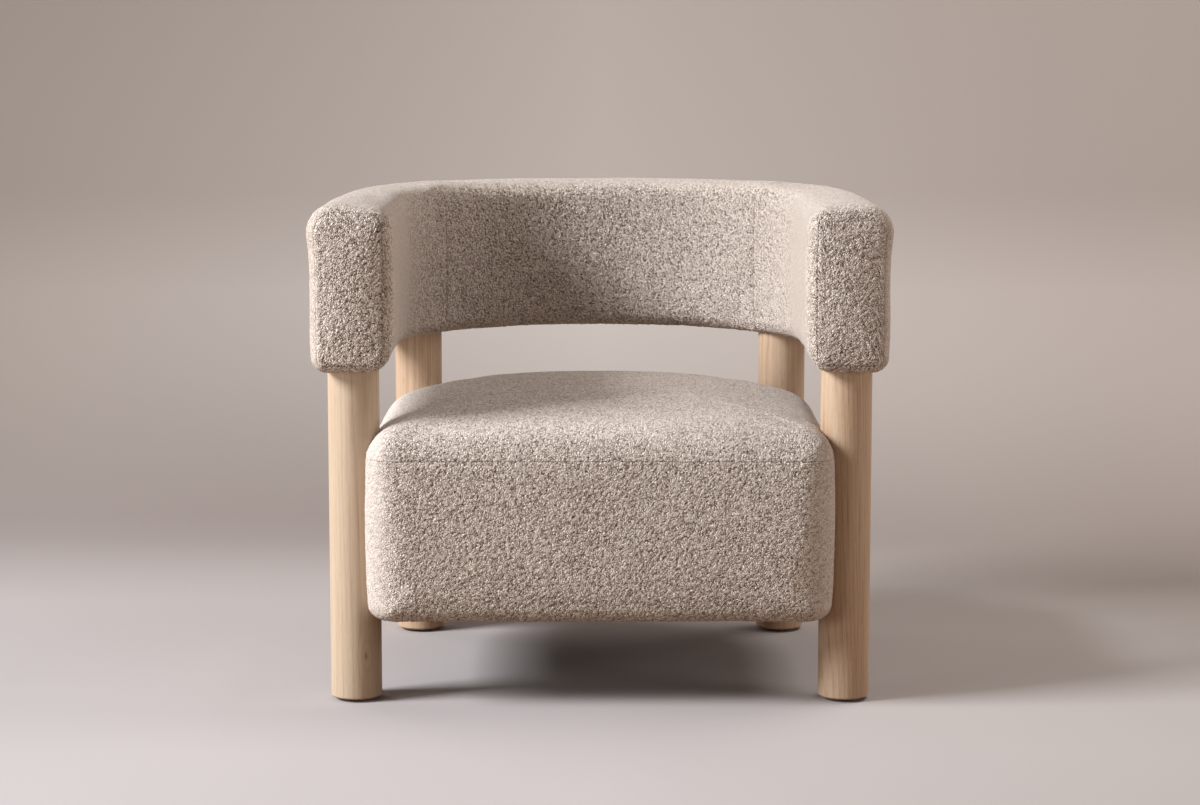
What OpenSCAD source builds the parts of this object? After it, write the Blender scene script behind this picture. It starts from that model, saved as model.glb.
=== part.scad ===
// Tub chair. A padded band bends around the sitter as back and arms, and stands on four
// round wooden legs. A thick padded seat with a round back is bolted between the legs,
// which sink a little way into its sides. The chair faces -Y. Left and right are those of
// someone who stands in front of it, so right is +X.

/* [Back and arms] */
// Height of the top of the back above the floor
chair_h = 700; // [680:5:760]
// Height of the padded band, from its underside to its top
band_h = 230; // [200:5:250]
// Thickness of the padded band
band_t = 111; // [104:1:124]
// Distance between the middle lines of the two arms
arm_spacing = 690; // [672:2:740]
// Straight length of an arm, from its front face to where the band starts to turn
arm_straight = 344; // [300:2:400]
// Distance from the chair's middle plane to the middle of the curve at each side of the back
side_curve_set = 25; // [10:1:60]
// Distance from there forwards to the middle of the flatter curve behind the sitter
back_curve_set = 76; // [40:2:120]
// Radius of the band's upper outer edge
outer_edge_r = 38; // [30:1:44]
// Radius of the band's upper inner edge
inner_edge_r = 26; // [24:1:40]
// Radius of the band's two lower edges
low_edge_r = 22; // [21:0.5:28]
// Radius of the edge around an arm's front face
front_edge_r = 20; // [14:1:20]
// How far the padding swells at half height
band_belly = 2.5; // [0.5:0.5:4]
// How far the middle of an arm's front face swells
face_belly = 4; // [1:0.5:8]

/* [Legs] */
// Diameter of a leg
leg_d = 72; // [64:1:76]
// Distance from the front face of an arm to the middle of its leg
front_leg_set = 62; // [60:1:80]
// Place of a rear leg on the curve, as the angle that the band has turned by there
rear_leg_turn = 36.5; // [30:0.5:42]
// Break of the leg's lower edge
leg_break = 2.5; // [1:0.5:5]
// Diameter of a glide under a leg
glide_d = 40; // [24:1:50]
// Thickness of a glide
glide_t = 4; // [3:0.5:8]

/* [Seat] */
// Distance from the band's underside down to the seam where the seat's top starts to round over
seat_drop = 120; // [100:2:150]
// Height of the seat's sides, from its underside to that seam
seat_side_h = 228; // [210:2:240]
// Radius of the seat's upper edge
seat_edge_r = 46; // [30:1:46]
// Height that the middle of the seat rises above its rounded edge
seat_crown = 25; // [10:1:32]
// How far the seat's front stands before the front faces of the arms
seat_proud = 18; // [10:1:24]
// How deep a leg sinks into the side of the seat
leg_sink = 17; // [12:1:22]
// Radius of the seat's two front corners, seen from above
seat_corner_r = 47; // [42:1:60]
// Distance from the chair's middle plane to the middle of the seat's curve at each side
seat_curve_set = 56; // [40:2:90]
// Distance from there forwards to the middle of the seat's flatter curve at the back
seat_back_set = 182; // [120:2:260]
// Radius of the seat's lower edge
seat_low_r = 22; // [12:1:26]
// How far the seat's sides swell between their edges
seat_belly = 2.5; // [0.5:0.5:5]

/* [Layers] */
// Thickness of the cover fabric with its pile
cover_t = 3; // [2:0.25:4]
// Thickness of the foam on the boards
pad_t = 15; // [12:0.5:16]
// Thickness of the bent boards in the band
board_t = 4; // [3:0.5:6]
// Thickness of the bent boards in the seat
seat_board_t = 3; // [2:0.5:6]
// Thickness of the frame plates and ribs
plate_t = 18; // [12:0.5:22]
// Thickness of the plate along the top of the band
top_plate_t = 12; // [9:0.5:18]
// Width that a cover is turned in under the band's plate
turn_in = 11; // [6:1:16]
// Width that a cover is turned in under the seat
seat_turn_in = 40; // [30:1:60]
// Thickness of the thin cloth under the seat
dust_cloth_t = 1.2; // [0.8:0.1:2]
// Thickness of an elastic strap
strap_t = 2; // [1:0.25:3]
// Width of an elastic strap
strap_w = 60; // [40:2:70]
// Height of the seat's frame, from its lower face to its upper face
seat_frame_h = 147; // [120:1:150]

/* [Fasteners] */
// Diameter of the bolt between a leg and the band
leg_bolt_d = 10; // [8:1:12]
// Length of that bolt inside the leg
leg_bolt_in = 50; // [30:1:80]
// Length of that bolt above the band's lower plate
leg_bolt_out = 6; // [3:1:20]
// Diameter of a tee nut's barrel
tee_barrel_d = 13; // [13:0.5:18]
// Length of a tee nut's barrel
tee_barrel_l = 14; // [9:0.5:16]
// Diameter of a tee nut's flange
tee_flange_d = 27; // [22:1:32]
// Thickness of a tee nut's flange
tee_flange_t = 2; // [1:0.5:3]
// Diameter of a seat bolt
seat_bolt_d = 8; // [6:1:9]
// Diameter of a seat bolt's head
seat_head_d = 18; // [14:1:24]
// Thickness of a seat bolt's head
seat_head_t = 5; // [3:0.5:8]
// Diameter of a threaded sleeve in a leg
sleeve_d = 12; // [11:0.5:16]
// Length of a threaded sleeve in a leg
sleeve_l = 18; // [12:1:24]
// Depth of a sleeve's outer end under the leg's surface
sleeve_set = 1; // [0.5:0.5:3]
// Width of a saddle block
saddle_w = 54; // [44:1:54]
// Width of the nose with which a saddle block meets its leg
saddle_nose_w = 24; // [16:1:26]
// Depth of a saddle block behind its nose
saddle_l = 42; // [30:1:50]
// Diameter of a wood screw
screw_d = 4; // [3:0.25:5]
// Diameter of a wood screw's head
screw_head_d = 8; // [6:0.5:10]
// Thickness of a wood screw's head
screw_head_t = 3; // [2:0.25:5]
// Length of a wood screw
screw_l = 45; // [34:1:55]
// Diameter of a glide's nail
nail_d = 3; // [2:0.25:4]
// Length of a glide's nail
nail_l = 22; // [14:1:30]

/* [Hidden] */
$fn = 64;

// Clearance between soft pieces and their neighbours
soft_gap = 0.3;
// Clearance of a pin, sleeve or screw in its hole, on the radius
slip = 0.15;
// Overrun of every cut
over = 1;
// Room between a flat rib and the bent boards, which follow short flat steps
curve_room = 0.9;
// Slope of the first flat step of a lower edge, which the plates and boards inside clear
step_slope = tan(22.5);
// Opening left between the two turned-in edges of a cover at the front of an arm
closed_lip = 0.2;

// Steps along the curve between an arm and its seam, and between the two seams
arm_steps = 6;
back_steps = 18;
// Angle, from the side of the edge around an arm's face, of the seam between the arm's
// cover and its facing, and the angles at which the rings on both sides of it lie
face_seam_angle = 60;
face_ring_angles = [0, 20, 40, face_seam_angle];
facing_ring_angles = [(face_seam_angle + 90) / 2, 90];
// Angle at which the seat's rounded edge gives way to its crown, and the steps up to it
seat_round_end = 80;
seat_round_steps = 3;
// Diameter of a nail's head, as a multiple of the nail's
nail_head_ratio = 3;
// Steps around the leg in the hollow that it makes in the seat
notch_steps = 7;
// Shares of the way from the seat's middle at which the crown's rings lie
crown_ring_shares = [0.78, 0.5, 0.24];
// Shares at which the points of the seat's outline lie: along half the front line, along the
// straight side, in the side's turn before the rear leg and after it, and in half the back
front_shares = [0, 0.5];
side_shares = [0.33, 0.66];
turn_shares = [0, 0.36, 0.72];
rear_turn_shares = [0.4, 1];
back_shares = [0.75, 0.5, 0.25, 0];
// Angles at which the points of a front corner lie
corner_turns = [-90, -67.5, -45, -22.5, 0];
// Share of the face's size at which the facing's inner ring lies, and its share of the swell
face_ring_share = 0.5;
face_swell_share = 0.75;
// Share of a frame plate's outline that its opening takes
frame_hole_share = 0.7;
// Share of the straight part of an arm at which its rib stands
arm_rib_share = 0.76;
// Shares of a rib's width at which its two screws stand
screw_shares = [-0.27, 0.27];
// Shares of the seat frame's opening at which the straps run
strap_shares = [-0.66, -0.22, 0.22, 0.66];
// Share of the seat's outline over which the straps reach
strap_reach_share = 0.8;
// Shares of a saddle block's height at which its bolts pass
bolt_shares = [0.27, 0.73];

// The band
band_low = chair_h - band_h;
arm_x = arm_spacing / 2;
half_t = band_t / 2;
// Radii of the band's middle line at the sides and at the middle of the back, half the angle
// of its middle curve, and the angle where that meets a side curve
side_turn_r = arm_x - side_curve_set;
back_turn_r = side_turn_r + norm([side_curve_set, back_curve_set]);
back_half = atan2(side_curve_set, back_curve_set);
side_end = 90 - back_half;
curve_depth = back_turn_r - back_curve_set;
overall_d = seat_belly + seat_proud + arm_straight + curve_depth + half_t + band_belly;
seat_front_y = seat_belly - overall_d / 2;
arm_front_y = seat_front_y + seat_proud;
turn_y = arm_front_y + arm_straight;
side_c = [arm_x - side_turn_r, turn_y];
back_c = [0, turn_y + curve_depth - back_turn_r];
// The layers, as depths under the cover's outer face
pad_in = cover_t + soft_gap;
board_in = pad_in + pad_t;
plate_in = board_in + board_t;
plate_half = half_t - plate_in;
lip_half = plate_half - turn_in;
board_top = band_h - outer_edge_r;
frame_front = arm_front_y + front_edge_r;
cloth_front = frame_front + over + soft_gap;
lower_plate_z = band_low + cover_t + soft_gap + max(0, low_edge_r - plate_in) * step_slope;
board_z = band_low + cover_t + soft_gap + max(0, low_edge_r - board_in) * step_slope;
board_h = band_low + board_top - board_z;
upper_plate_z = band_low + board_top - top_plate_t;
// Angle by which the back's cover stands off its seam, for a gap of one soft clearance
seam_turn = atan(soft_gap / side_turn_r);
arm_turns = [for (i = [0:arm_steps]) rear_leg_turn * i / arm_steps];
back_turns = [
    for (i = [0:back_steps]) rear_leg_turn + (180 - 2 * rear_leg_turn) * i / back_steps
];

// The legs
leg_r = leg_d / 2;
leg_top = band_low;
front_leg = [arm_x, arm_front_y + front_leg_set];
rear_leg = side_c + side_turn_r * [cos(rear_leg_turn), sin(rear_leg_turn)];
bolt_r = leg_bolt_d / 2;
nail_head_d = nail_d * nail_head_ratio;

// The seat's outline: a front line, two front corners, straight sides, two side curves
// and a back curve
seat_half = arm_x - leg_r + leg_sink;
leg_off = leg_r - leg_sink;
seat_turn_r = seat_half - seat_curve_set;
seat_side_cy = rear_leg.y - sqrt(pow(seat_turn_r + leg_off, 2) - pow(rear_leg.x - seat_curve_set, 2));
seat_side_c = [seat_curve_set, seat_side_cy];
seat_back_r = seat_turn_r + norm([seat_curve_set, seat_back_set]);
seat_back_cy = seat_side_cy - seat_back_set;
seat_back_half = atan2(seat_curve_set, seat_back_set);
// Heights of the seam around the seat and of its underside
seat_seam = band_low - seat_drop;
seat_low = seat_seam - seat_side_h;
seat_mid = [0, (seat_front_y + seat_back_cy + seat_back_r) / 2];
// Angle of the rear leg as seen from the middle of the seat's side curve
rear_leg_angle = atan2(rear_leg.y - seat_side_cy, rear_leg.x - seat_curve_set);
// The hollow around a leg: half its angle, and its radius, drawn so that its flat steps
// keep clear of the leg
notch_off = leg_off - seat_belly;
notch_half = acos(notch_off / (leg_r + soft_gap));
notch_reach = notch_off * tan(notch_half);
notch_grow = 1 / cos(notch_half / notch_steps);
notch_angles = [for (i = [0:notch_steps]) notch_half * (2 * i / notch_steps - 1)];
// The front corners end before the hollow around the leg begins
corner_r = min(seat_corner_r, front_leg.y - notch_reach - over - seat_front_y);
corner_c = [seat_half - corner_r, seat_front_y + corner_r];
// Levels inside the seat
seat_frame_in = pad_in + pad_t + seat_board_t;
// Depth at which the frame stays clear of the cover's lower edge in a hollow
frame_depth = max(pad_in, seat_low_r - leg_sink);
seat_frame_z = seat_low + cover_t + soft_gap + max(0, seat_low_r - seat_frame_in) * step_slope;
seat_board_z = seat_low + cover_t + soft_gap + max(0, seat_low_r - pad_in - pad_t) * step_slope;
upper_frame_z = seat_frame_z + seat_frame_h - plate_t;
saddle_z = seat_frame_z + plate_t;
saddle_h = upper_frame_z - saddle_z;
strap_z = upper_frame_z + plate_t;
strap_step = strap_t + soft_gap;
foam_z = strap_z + 2 * strap_step;
saddle_back = leg_r + soft_gap + saddle_l;
bolt_tip = leg_r - sleeve_set - sleeve_l + over;

// A list back to front
function turned(list) = [for (i = [len(list) - 1:-1:0]) list[i]];
// A unit vector at an angle
function ray(a) = [cos(a), sin(a)];

// A frame on the band's middle line is [x, y, angle of the outward normal]
function arm_frame(y) = [arm_x, y, 0];
function turn_frame(a) =
    let (far = a > 90, b = far ? 180 - a : a)
    let (p = b <= side_end ? side_c + side_turn_r * ray(b) : back_c + back_turn_r * ray(b))
    [far ? -p.x : p.x, p.y, a];
// The point at u outwards from a frame, at height z
function place(f, u, z) = [f[0] + u * cos(f[2]), f[1] + u * sin(f[2]), z];
// The frames around the whole band, from one arm's front at y to the other's
function band_frames(y) = concat(
    [arm_frame(y)],
    [for (a = arm_turns) turn_frame(a)],
    [for (i = [1:back_steps]) turn_frame(back_turns[i])],
    [for (a = turned(arm_turns)) if (a < rear_leg_turn) turn_frame(180 - a)],
    [[-arm_x, y, 180]]
);

// Outline of the band's cross-section at a depth under the outer face, as [u, height],
// from the turned-in edge outside, over the top, to the turned-in edge inside
function band_section(depth, lip, swell) =
    let (low = half_t - low_edge_r, out = half_t - outer_edge_r, inn = half_t - inner_edge_r)
    let (mid = (low_edge_r + board_top) / 2, side = half_t - depth + swell)
    concat(
        [[lip, depth]],
        [for (a = [-90, -45, 0]) [low, low_edge_r] + (low_edge_r - depth) * ray(a)],
        [[side, mid]],
        [for (a = [0:30:90]) [out, band_h - outer_edge_r] + (outer_edge_r - depth) * ray(a)],
        [[(out - inn) / 2, band_h - depth + swell]],
        [for (a = [90:30:180]) [-inn, band_h - inner_edge_r] + (inner_edge_r - depth) * ray(a)],
        [[-side, mid]],
        [for (a = [180, 225, 270]) [-low, low_edge_r] + (low_edge_r - depth) * ray(a)],
        [[-lip, depth]]
    );
function raised(f, section) = [for (q = section) place(f, q.x, band_low + q.y)];
// A closed loop around the cover's thickness at one frame
function cover_loop(f, lip) = concat(
    raised(f, band_section(0, lip, band_belly)),
    turned(raised(f, band_section(cover_t, lip, band_belly)))
);
// Depth and place of the rounded edge around an arm's face, at an angle and a depth
function edge_depth(a, depth) = front_edge_r - (front_edge_r - depth) * cos(a);
function edge_y(a, depth) = arm_front_y + front_edge_r - (front_edge_r - depth) * sin(a);
function edge_ring(a, depth, lip) = raised(
    arm_frame(edge_y(a, depth)),
    band_section(edge_depth(a, depth), lip, band_belly * cos(a))
);
function edge_loop(a) = concat(edge_ring(a, 0, closed_lip), turned(edge_ring(a, cover_t, closed_lip)));
// The same edge as a closed ring, without its doubled end
function face_ring(a, depth) =
    let (ring = edge_ring(a, depth, 0))
    [for (i = [0:len(ring) - 2]) ring[i]];
function face_mid(depth, swell) = [arm_x, arm_front_y + depth - swell, band_low + band_h / 2];
// A ring drawn in towards the middle of the face
function drawn_in(ring, mid, share, swell) = [
    for (p = ring) [mid.x + (p.x - mid.x) * share, p.y - swell, mid.z + (p.z - mid.z) * share]
];

// Half of the seat's outline, from the middle of the front to the middle of the back,
// as [x, y, angle of the outward normal]
leg_samples = [for (a = notch_angles) notch_off * tan(a)];
seat_outline_half = concat(
    [for (share = front_shares) [corner_c.x * share, seat_front_y, -90]],
    [for (a = corner_turns) [corner_c.x + corner_r * cos(a), corner_c.y + corner_r * sin(a), a]],
    [for (s = leg_samples) [seat_half, front_leg.y + s, 0]],
    [for (share = side_shares) [seat_half, front_leg.y * (1 - share) + seat_side_c.y * share, 0]],
    [for (share = turn_shares) seat_turn_point(rear_leg_angle * share)],
    [for (s = leg_samples) seat_turn_point(rear_leg_angle + asin(s / seat_turn_r))],
    [
        for (share = rear_turn_shares)
            let (end = 90 - seat_back_half, start = rear_leg_angle + notch_half / notch_steps)
            seat_turn_point(start + (end - start) * share)
    ],
    [for (share = back_shares) let (a = 90 - seat_back_half * share)
        [seat_back_r * cos(a), seat_back_cy + seat_back_r * sin(a), a]]
);
function seat_turn_point(a) =
    [seat_side_c.x + seat_turn_r * cos(a), seat_side_c.y + seat_turn_r * sin(a), a];
half_count = len(seat_outline_half);
seat_outline = concat(
    seat_outline_half,
    [for (i = [half_count - 2:-1:1]) let (p = seat_outline_half[i]) [-p.x, p.y, 180 - p[2]]]
);
outline_count = len(seat_outline);
// Places on the half outline where the pieces around the seat end
first_leg_i = len(front_shares) + len(corner_turns);
second_leg_i = first_leg_i + notch_steps + 1 + len(side_shares) + len(turn_shares);
nose_steps = 2;

// A point of the outline, drawn in and kept clear of both legs on its side
function clear_of(p, leg, r) =
    let (side = p.x < 0 ? -1 : 1, away = p - [side * leg.x, leg.y])
    norm(away) < r ? [side * leg.x, leg.y] + away * r / norm(away) : p;
function seat_point(i, inset, depth) =
    let (b = seat_outline[(i + outline_count) % outline_count])
    let (p = [b.x, b.y] - (inset + depth) * ray(b[2]))
    let (r = (leg_r + soft_gap + depth) * notch_grow)
    clear_of(clear_of(p, front_leg, r), rear_leg, r);
function seat_ring(inset, depth, z) = [
    for (i = [0:outline_count - 1]) let (p = seat_point(i, inset, depth)) [p.x, p.y, z]
];
// The seat's top at a depth under its outer face: the rounded edge, then the crown
function round_ring(a, depth) = seat_ring(
    seat_edge_r - (seat_edge_r - depth) * cos(a) - depth, depth,
    seat_seam + (seat_edge_r - depth) * sin(a)
);
function crown_ring(share, depth) =
    let (edge = round_ring(seat_round_end, depth))
    [
        for (p = edge) [
            seat_mid.x + (p.x - seat_mid.x) * share,
            seat_mid.y + (p.y - seat_mid.y) * share,
            crown_z(share, depth)
        ]
    ];
function crown_z(share, depth) =
    seat_seam + (seat_edge_r - depth) * sin(seat_round_end) + seat_crown * (1 - share * share);
function top_rings(depth) = concat(
    [for (i = [0:seat_round_steps]) round_ring(seat_round_end * i / seat_round_steps, depth)],
    [for (share = crown_ring_shares) crown_ring(share, depth)]
);
// The seat's side, as [inset, height] from the turned-in edge up to the seam
function side_section(depth) = concat(
    [[seat_low_r + seat_turn_in - depth, seat_low + depth]],
    [
        for (a = [-90, -45, 0])
            [
                seat_low_r - (seat_low_r - depth) * cos(a) - depth,
                seat_low + seat_low_r + (seat_low_r - depth) * sin(a)
            ]
    ],
    [[-seat_belly, (seat_low + seat_low_r + seat_seam) / 2]],
    [[0, seat_seam - soft_gap]]
);
function side_loop(i) = concat(
    [for (q = side_section(0)) let (p = seat_point(i, q.x, 0)) [p.x, p.y, q.y]],
    turned([for (q = side_section(cover_t)) let (p = seat_point(i, q.x, cover_t)) [p.x, p.y, q.y]])
);

// Triangles between closed loops a and b, which start at those points and have n points each.
// The four-sided places are split one way or the other, so that nested faces lie alike.
function between(a, b, n, lean) = [
    for (i = [0:n - 1]) let (j = (i + 1) % n)
        each lean ?
            [[a + i, b + i, a + j], [a + j, b + i, b + j]] :
            [[a + i, b + i, b + j], [a + i, b + j, a + j]]
];
function all_between(loops, lean = false) =
    let (n = len(loops[0]))
    [for (k = [0:len(loops) - 2]) each between(k * n, (k + 1) * n, n, lean)];
// A sheet with thickness: each loop runs along its outer face and back along its inner face
module sheet(loops) {
    n = len(loops[0]);
    last = (len(loops) - 1) * n;
    points = [for (loop = loops) each loop];
    ends = [
        for (i = [0:n / 2 - 2]) let (j = n - 1 - i)
            each [
                [i, i + 1, j - 1], [i, j - 1, j],
                [last + i, last + j - 1, last + i + 1], [last + i, last + j, last + j - 1]
            ]
    ];
    polyhedron(points = points, faces = concat(all_between(loops), ends));
}
// A closed body of loops between two tips
module capped(loops, first_tip, last_tip, lean = false) {
    n = len(loops[0]);
    last = (len(loops) - 1) * n;
    points = concat([for (loop = loops) each loop], [first_tip, last_tip]);
    tips = [
        for (i = [0:n - 1]) let (j = (i + 1) % n)
            each [[len(loops) * n, i, j], [len(loops) * n + 1, last + j, last + i]]
    ];
    polyhedron(points = points, faces = concat(all_between(loops, lean), tips));
}
// A body swept through loops that are convex at both ends
module swept(loops) {
    n = len(loops[0]);
    last = (len(loops) - 1) * n;
    points = [for (loop = loops) each loop];
    ends = [for (i = [1:n - 2]) each [[0, i, i + 1], [last, last + i + 1, last + i]]];
    polyhedron(points = points, faces = concat(all_between(loops), ends));
}
// A flat-sided piece that follows the band between two distances from its middle line
module along_band(from_u, to_u, y, z, h) {
    frames = band_frames(y);
    outer = [for (f = frames) place(f, to_u, 0)];
    inner = [for (f = frames) place(f, from_u, 0)];
    translate([0, 0, z])
        linear_extrude(height = h)
            polygon([for (p = concat(outer, turned(inner))) [p.x, p.y]]);
}
// A flat-sided piece that follows the seat's outline inside its cover, between two places
module along_seat(i_from, i_to, from_in, to_in, z, h) {
    outer = [for (i = [i_from:i_to]) seat_point(i, from_in - pad_in, pad_in)];
    inner = [for (i = [i_from:i_to]) seat_point(i, to_in - pad_in, pad_in)];
    translate([0, 0, z]) linear_extrude(height = h) polygon(concat(outer, turned(inner)));
}
module on_left() {
    mirror([1, 0, 0]) children();
}
module on_both() {
    children();
    on_left() children();
}
// Puts its children at a frame, with X outwards and Y along the band
module at_frame(f, z) {
    translate([f[0], f[1], z]) rotate([0, 0, f[2]]) children();
}
// Puts its children at a leg, with X towards the seat
module at_front_leg(z) {
    translate([front_leg.x, front_leg.y, z]) rotate([0, 0, 180]) children();
}
module at_rear_leg(z) {
    translate([rear_leg.x, rear_leg.y, z]) rotate([0, 0, 180 + rear_leg_angle]) children();
}
module at_each_leg(z) {
    on_both() {
        at_front_leg(z) children();
        at_rear_leg(z) children();
    }
}

// The legs, drawn with X towards the seat
module leg() {
    color("burlywood")
        difference() {
            union() {
                translate([0, 0, glide_t]) cylinder(h = leg_break, r1 = leg_r - leg_break, r2 = leg_r);
                translate([0, 0, glide_t + leg_break])
                    cylinder(h = leg_top - glide_t - leg_break, r = leg_r);
            }
            translate([0, 0, leg_top - leg_bolt_in - slip])
                cylinder(h = leg_bolt_in + slip + over, r = bolt_r + slip);
            translate([0, 0, glide_t - over]) cylinder(h = nail_l + over + slip, r = nail_d / 2 + slip);
            at_bolts() translate([0, 0, leg_r - sleeve_set - sleeve_l - slip]) {
                cylinder(h = sleeve_l + sleeve_set + slip + over, r = sleeve_d / 2 + slip);
            }
        }
}
// Puts its children at each seat bolt, with Z along the bolt away from the leg's middle
module at_bolts() {
    for (share = bolt_shares)
        translate([0, 0, saddle_z + saddle_h * share]) rotate([0, 90, 0]) children();
}
module glide() {
    color("dimgray")
        difference() {
            cylinder(h = glide_t, d = glide_d);
            translate([0, 0, glide_t / 2]) cylinder(h = glide_t, r = nail_d / 2 + slip);
            translate([0, 0, -over]) cylinder(h = glide_t / 2 + over, d = nail_head_d);
        }
}
module glide_nail() {
    translate([0, 0, glide_t / 2]) cylinder(h = nail_l + glide_t / 2, d = nail_d);
    translate([0, 0, glide_t / 4]) cylinder(h = glide_t / 4, d = nail_head_d - 2 * slip);
}

// The bolts that hang the band on the legs
module leg_bolt() {
    color("silver")
        translate([0, 0, leg_top - leg_bolt_in])
            cylinder(h = lower_plate_z + plate_t + leg_bolt_out - leg_top + leg_bolt_in, r = bolt_r);
}
module leg_tee_nut() {
    color("silver")
        difference() {
            union() {
                translate([0, 0, lower_plate_z + plate_t - tee_barrel_l])
                    cylinder(h = tee_barrel_l, d = tee_barrel_d);
                translate([0, 0, lower_plate_z + plate_t]) cylinder(h = tee_flange_t, d = tee_flange_d);
            }
            translate([0, 0, lower_plate_z])
                cylinder(h = plate_t + tee_flange_t + over, r = bolt_r + slip);
        }
}

// The frame inside the band
module rib_places() {
    front = frame_front + plate_t / 2;
    on_both() {
        at_frame(arm_frame(front), 0) children();
        at_frame(arm_frame(arm_front_y + arm_straight * arm_rib_share), 0) children();
        at_frame(turn_frame((rear_leg_turn + 90) / 2), 0) children();
    }
    at_frame(turn_frame(90), 0) children();
}
rib_w = 2 * (plate_half - curve_room);
rib_low = lower_plate_z + plate_t;
rib_h = upper_plate_z - rib_low;
module screw() {
    cylinder(h = screw_head_t, d = screw_head_d);
    cylinder(h = screw_l, d = screw_d);
}
module screw_hole() {
    translate([0, 0, -over]) cylinder(h = screw_head_t + over + slip, r = screw_head_d / 2 + slip);
    cylinder(h = screw_l + slip, r = screw_d / 2 + slip);
}
// Two screws that rise from the lower plate and two that drop from the upper plate
module rib_screw_places() {
    for (share = screw_shares)
        translate([rib_w * share, 0, 0]) {
            translate([0, 0, lower_plate_z]) children();
            translate([0, 0, upper_plate_z + top_plate_t]) mirror([0, 0, 1]) children();
        }
}
module back_lower_plate() {
    color("tan")
        difference() {
            along_band(-plate_half, plate_half, frame_front, lower_plate_z, plate_t);
            on_both() for (leg = [front_leg, rear_leg])
                translate([leg.x, leg.y, lower_plate_z - over]) {
                    cylinder(h = plate_t + 2 * over, r = tee_barrel_d / 2 + slip);
                }
            rib_places() rib_screw_places() screw_hole();
        }
}
module back_upper_plate() {
    color("tan")
        difference() {
            along_band(-plate_half, plate_half, frame_front, upper_plate_z, top_plate_t);
            rib_places() rib_screw_places() screw_hole();
        }
}
module rib() {
    color("wheat")
        difference() {
            translate([-rib_w / 2, -plate_t / 2, rib_low]) cube([rib_w, plate_t, rib_h]);
            rib_screw_places() screw_hole();
        }
}
module front_rib() {
    at_frame(arm_frame(frame_front + plate_t / 2), 0) rib();
}
module arm_rib() {
    at_frame(arm_frame(arm_front_y + arm_straight * arm_rib_share), 0) rib();
}
module corner_rib() {
    at_frame(turn_frame((rear_leg_turn + 90) / 2), 0) rib();
}
module centre_rib() {
    at_frame(turn_frame(90), 0) rib();
}
module rib_screws() {
    color("goldenrod") rib_places() rib_screw_places() screw();
}
module inner_board() {
    color("peru")
        along_band(-half_t + board_in, -plate_half, frame_front, board_z, board_h);
}
module outer_board() {
    color("peru")
        along_band(plate_half, half_t - board_in, frame_front, board_z, board_h);
}

// The padding of the band
module inner_pad() {
    color("khaki")
        along_band(-half_t + pad_in, -half_t + board_in, frame_front, band_low + low_edge_r,
            board_top - low_edge_r);
}
module outer_pad() {
    color("khaki")
        along_band(half_t - board_in, half_t - pad_in, frame_front, band_low + low_edge_r,
            board_top - low_edge_r);
}
module top_pad() {
    // The part of the cover's section above the boards, without its last swell
    section = [
        for (q = band_section(pad_in, lip_half, 0)) if (q.y >= board_top - over / 2) q
    ];
    low = [
        [section[0].x, board_top],
        each section,
        [section[len(section) - 1].x, board_top]
    ];
    color("khaki") swept([for (f = band_frames(frame_front)) raised(f, distinct(low))]);
}
// A list without points that repeat the one before
function distinct(list) = [
    for (i = [0:len(list) - 1]) if (i == 0 || norm(list[i] - list[max(i - 1, 0)]) > slip) list[i]
];
module arm_front_pad() {
    rings = [for (a = [0, 45, 90]) face_ring(a, pad_in)];
    color("khaki")
        capped(
            concat([[for (p = rings[0]) [p.x, frame_front - soft_gap, p.z]]],
                [for (i = [1:2]) rings[i]]),
            [arm_x, frame_front - soft_gap, band_low + band_h / 2],
            face_mid(pad_in, 0)
        );
}

// The covers of the band
module back_cover() {
    turns = [for (i = [0:back_steps])
        i == 0 ? rear_leg_turn + seam_turn :
        i == back_steps ? 180 - rear_leg_turn - seam_turn : back_turns[i]];
    color("tan") sheet([for (a = turns) cover_loop(turn_frame(a), lip_half)]);
}
module arm_cover() {
    color("tan")
        sheet(concat(
            [for (a = turned(face_ring_angles)) edge_loop(a)],
            [cover_loop(arm_frame(frame_front + over), lip_half)],
            [for (a = arm_turns) cover_loop(turn_frame(a), lip_half)]
        ));
}
module arm_facing() {
    rim = face_seam_angle + atan(soft_gap / front_edge_r);
    swell = face_belly * face_swell_share;
    outer = [for (a = concat([rim], facing_ring_angles)) face_ring(a, 0)];
    inner = [for (a = concat([rim], facing_ring_angles)) face_ring(a, cover_t)];
    outer_in = drawn_in(outer[len(outer) - 1], face_mid(0, 0), face_ring_share, swell);
    inner_in = drawn_in(inner[len(inner) - 1], face_mid(cover_t, 0), face_ring_share, swell);
    color("tan")
        capped(
            concat([inner_in], turned(inner), outer, [outer_in]),
            face_mid(cover_t, face_belly),
            face_mid(0, face_belly)
        );
}
module underside_cloth() {
    color("dimgray")
        difference() {
            along_band(-lip_half + soft_gap, lip_half - soft_gap, cloth_front, band_low, cover_t);
            on_both() for (leg = [front_leg, rear_leg])
                translate([leg.x, leg.y, band_low - over]) {
                    cylinder(h = cover_t + 2 * over, r = bolt_r + 2 * slip);
                }
        }
}

// The frame inside the seat
module seat_plate(z) {
    outline = [
        for (i = [0:outline_count - 1]) seat_point(i, seat_frame_in - frame_depth, frame_depth)
    ];
    opening = [for (p = outline) seat_mid + (p - seat_mid) * frame_hole_share];
    difference() {
        translate([0, 0, z]) linear_extrude(height = plate_t) polygon(outline);
        translate([0, 0, z - over]) linear_extrude(height = plate_t + 2 * over) polygon(opening);
    }
}
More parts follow.
